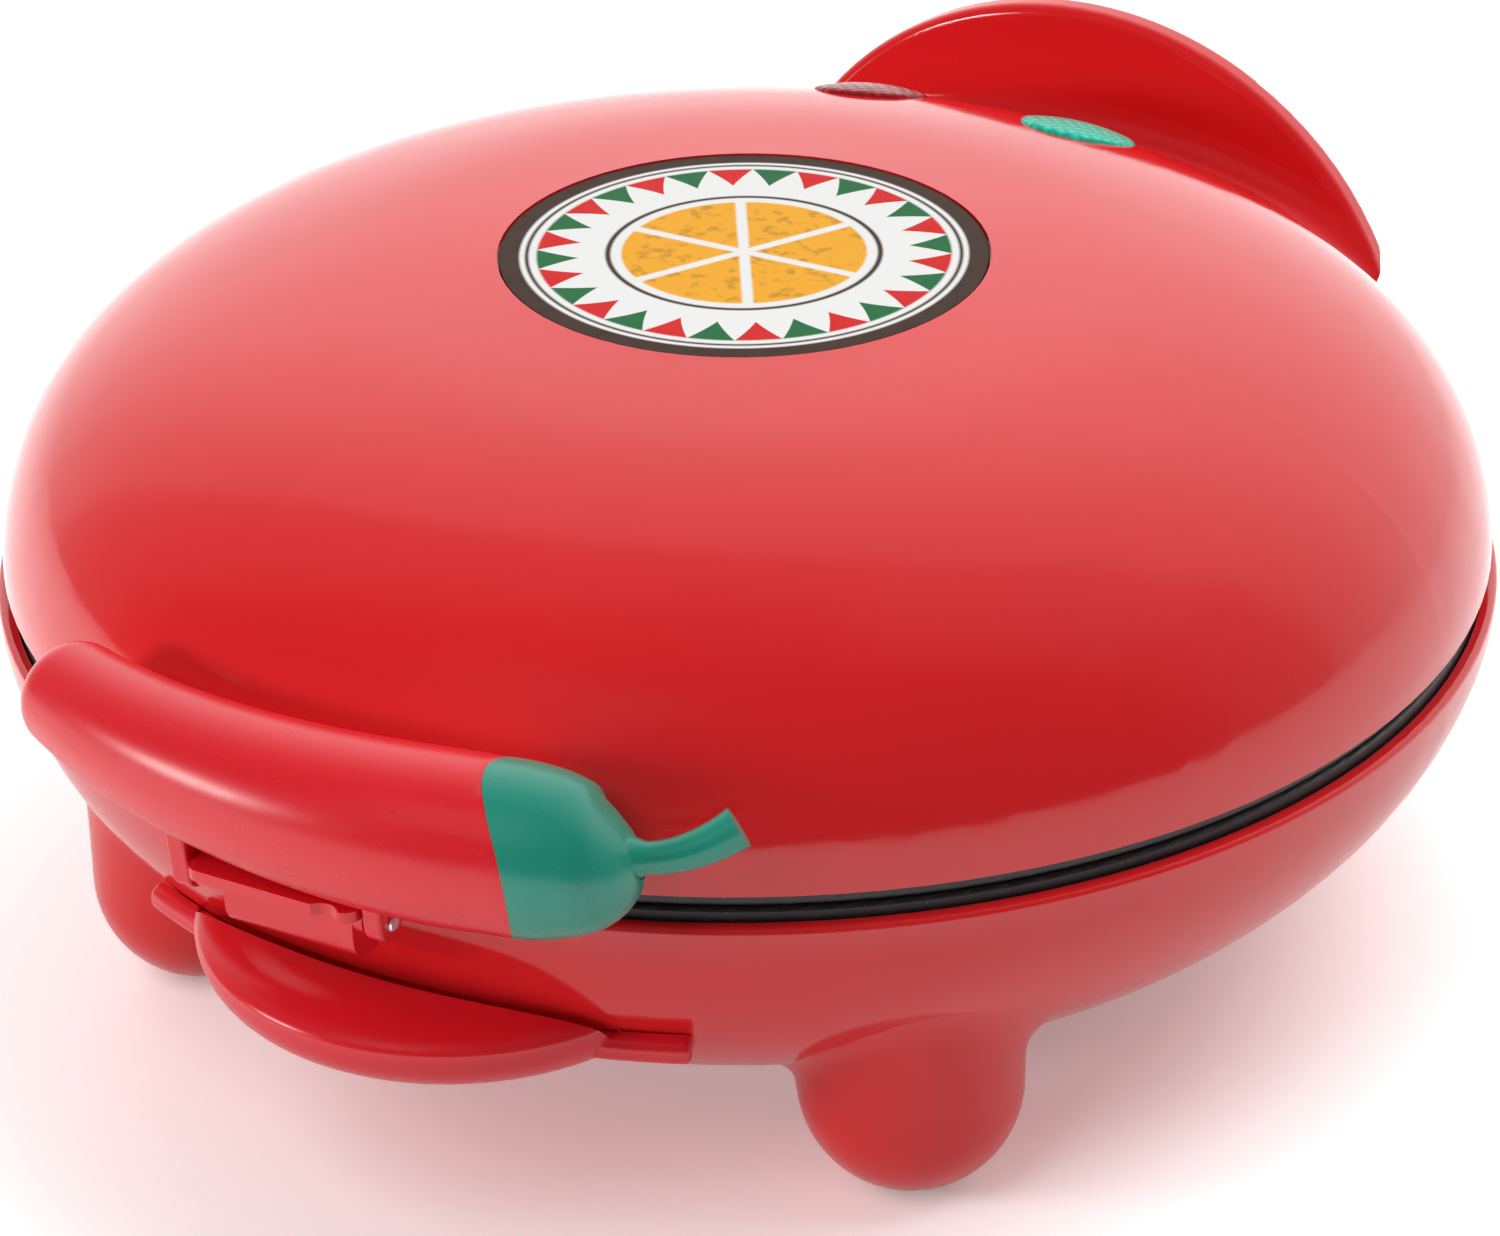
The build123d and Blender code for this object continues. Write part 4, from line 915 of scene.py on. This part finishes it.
def floor_paper(colour):
    """Pale studio paper. What the camera sees of it is lifted to white and keeps the shadow; the lift
    is weaker near the floor's middle, a painted shade round the cooker.
    """
    finish = Finish("studio_paper")
    fibre = finish.noise(300.0, 3.0)
    rays = finish.nodes.new("ShaderNodeLightPath")
    paper = finish.blend(finish.spread(fibre, 0, 1), shade(colour, 0.99), colour)
    finish.join(finish.blend(rays.outputs["Is Camera Ray"], paper, SEEN_PAPER), "Base Color")
    finish.set(Roughness=0.6, Specular_IOR_Level=0.2)
    glow = finish.nodes.new("ShaderNodeEmission")
    spot = finish.nodes.new("ShaderNodeVectorMath")
    spot.operation = "LENGTH"
    finish.links.new(finish.nodes.new("ShaderNodeTexCoord").outputs["Object"], spot.inputs[0])
    # painted shade: the glow is weaker near the floor's middle, where the cooker stands
    lift_and_painted_shade = finish.nodes.new("ShaderNodeMapRange")
    lift_and_painted_shade.interpolation_type = "SMOOTHSTEP"
    for socket, value in SEEN_LIFT_AND_PAINTED_SHADE:
        lift_and_painted_shade.inputs[socket].default_value = value
    finish.links.new(spot.outputs["Value"], lift_and_painted_shade.inputs["Value"])
    seen = finish.math("MAXIMUM", rays.outputs["Is Camera Ray"], rays.outputs["Is Glossy Ray"])
    seen = finish.math("MAXIMUM", seen, rays.outputs["Is Transmission Ray"])
    finish.links.new(finish.math("MULTIPLY", seen, lift_and_painted_shade.outputs["Result"]), glow.inputs["Strength"])
    total = finish.nodes.new("ShaderNodeAddShader")
    finish.links.new(finish.shader.outputs[0], total.inputs[0])
    finish.links.new(glow.outputs[0], total.inputs[1])
    finish.links.new(total.outputs[0], finish.nodes["Material Output"].inputs["Surface"])
    return finish.material


def studio_surroundings(room, wall):
    """Dim room with a bright wall behind the cooker, and white where the camera sees it."""
    world = bpy.data.worlds.new("studio")
    bpy.context.scene.world = world
    world.use_nodes = True
    nodes, links = world.node_tree.nodes, world.node_tree.links
    towards = nodes.new("ShaderNodeVectorMath")
    towards.operation = "DOT_PRODUCT"
    towards.inputs[1].default_value = WALL_SIDE
    links.new(nodes.new("ShaderNodeTexCoord").outputs["Generated"], towards.inputs[0])
    share = nodes.new("ShaderNodeMapRange")
    share.inputs["From Min"].default_value = -1.0
    links.new(towards.outputs["Value"], share.inputs["Value"])
    fall = nodes.new("ShaderNodeValToRGB")
    ramp = fall.color_ramp
    steps = ((-0.45, room), (-0.2, room), (-0.06, 0.18), (0.1, 0.34), (0.32, 0.5), (0.40, 0.86),
             (0.49, 0.95), (0.74, wall))
    while len(ramp.elements) < len(steps):
        ramp.elements.new(0.5)
    for element, (at, value) in zip(ramp.elements, steps):
        element.position = (at + 1) / 2
        element.color = (value / 2, value / 2, value / 2, 1)
    links.new(share.outputs["Result"], fall.inputs["Fac"])
    level = nodes.new("ShaderNodeMath")
    level.operation = "MULTIPLY"
    level.inputs[1].default_value = 2.0
    links.new(fall.outputs["Color"], level.inputs[0])
    rays = nodes.new("ShaderNodeLightPath")
    seen = nodes.new("ShaderNodeMix")
    links.new(rays.outputs["Is Camera Ray"], seen.inputs[0])
    links.new(level.outputs[0], seen.inputs[2])
    seen.inputs[3].default_value = 1.0
    links.new(seen.outputs[0], nodes["Background"].inputs["Strength"])
    nodes["Background"].inputs["Color"].default_value = (1, 1, 1, 1)


class COOKER_OT_stage(bpy.types.Operator):
    """Floor, surroundings, lights and camera."""
    bl_idname = "cooker.stage"
    bl_label = "Studio stage"

    def execute(self, context):
        sizes, colours = context.scene.cooker_sizes, context.scene.cooker_colours
        clear_selection()
        bpy.ops.mesh.primitive_plane_add(size=sizes.floor_size)
        floor = context.object
        floor.name = "studio_floor"
        floor.data.materials.append(floor_paper(tuple(colours.floor)))
        studio_surroundings(sizes.room, sizes.wall)
        key = add_softbox("key_light", (0.55, 0.3, 1.3), (0, 0, 0.1), (0.9, 0.9), sizes.key_power)
        key.visible_glossy = False
        front = add_softbox("front_light", (-0.2, -1.05, 1.25), (0, -0.05, 0.05), (0.8, 0.8),
                            sizes.front_power)
        front.visible_glossy = False
        add_softbox("strip_light", (-0.95, -0.99, 0.37), (0, -0.15, 0.1), (0.4, 0.16),
                    sizes.strip_power)
        add_camera()
        context.scene.view_settings.view_transform = "Standard"
        return {"FINISHED"}


# ---------------------------------------------------------------- panel and run

OPERATORS = (COOKER_OT_shells, COOKER_OT_handle, COOKER_OT_front, COOKER_OT_lamps,
             COOKER_OT_badge, COOKER_OT_works, COOKER_OT_legs, COOKER_OT_feet, COOKER_OT_stage)


class COOKER_PT_sidebar(bpy.types.Panel):
    """Lists the cooker's pieces and its stage."""
    bl_idname = "COOKER_PT_sidebar"
    bl_label = "Quesadilla maker"
    bl_space_type = "VIEW_3D"
    bl_region_type = "UI"
    bl_category = "Cooker"

    def draw(self, context):
        for operator in OPERATORS:
            self.layout.operator(operator.bl_idname)
        for group in (context.scene.cooker_colours, context.scene.cooker_sizes):
            box = self.layout.box()
            for name in group.__annotations__:
                box.prop(group, name)


CLASSES = (CookerColours, CookerSizes, *OPERATORS, COOKER_PT_sidebar)


def register():
    for cls in CLASSES:
        bpy.utils.register_class(cls)
    bpy.types.Scene.cooker_colours = bpy.props.PointerProperty(type=CookerColours)
    bpy.types.Scene.cooker_sizes = bpy.props.PointerProperty(type=CookerSizes)


def unregister():
    del bpy.types.Scene.cooker_sizes
    del bpy.types.Scene.cooker_colours
    for cls in reversed(CLASSES):
        bpy.utils.unregister_class(cls)


def main():
    register()
    for operator in OPERATORS:
        group, name = operator.bl_idname.split(".")
        getattr(getattr(bpy.ops, group), name)()


if __name__ == "__main__":
    main()
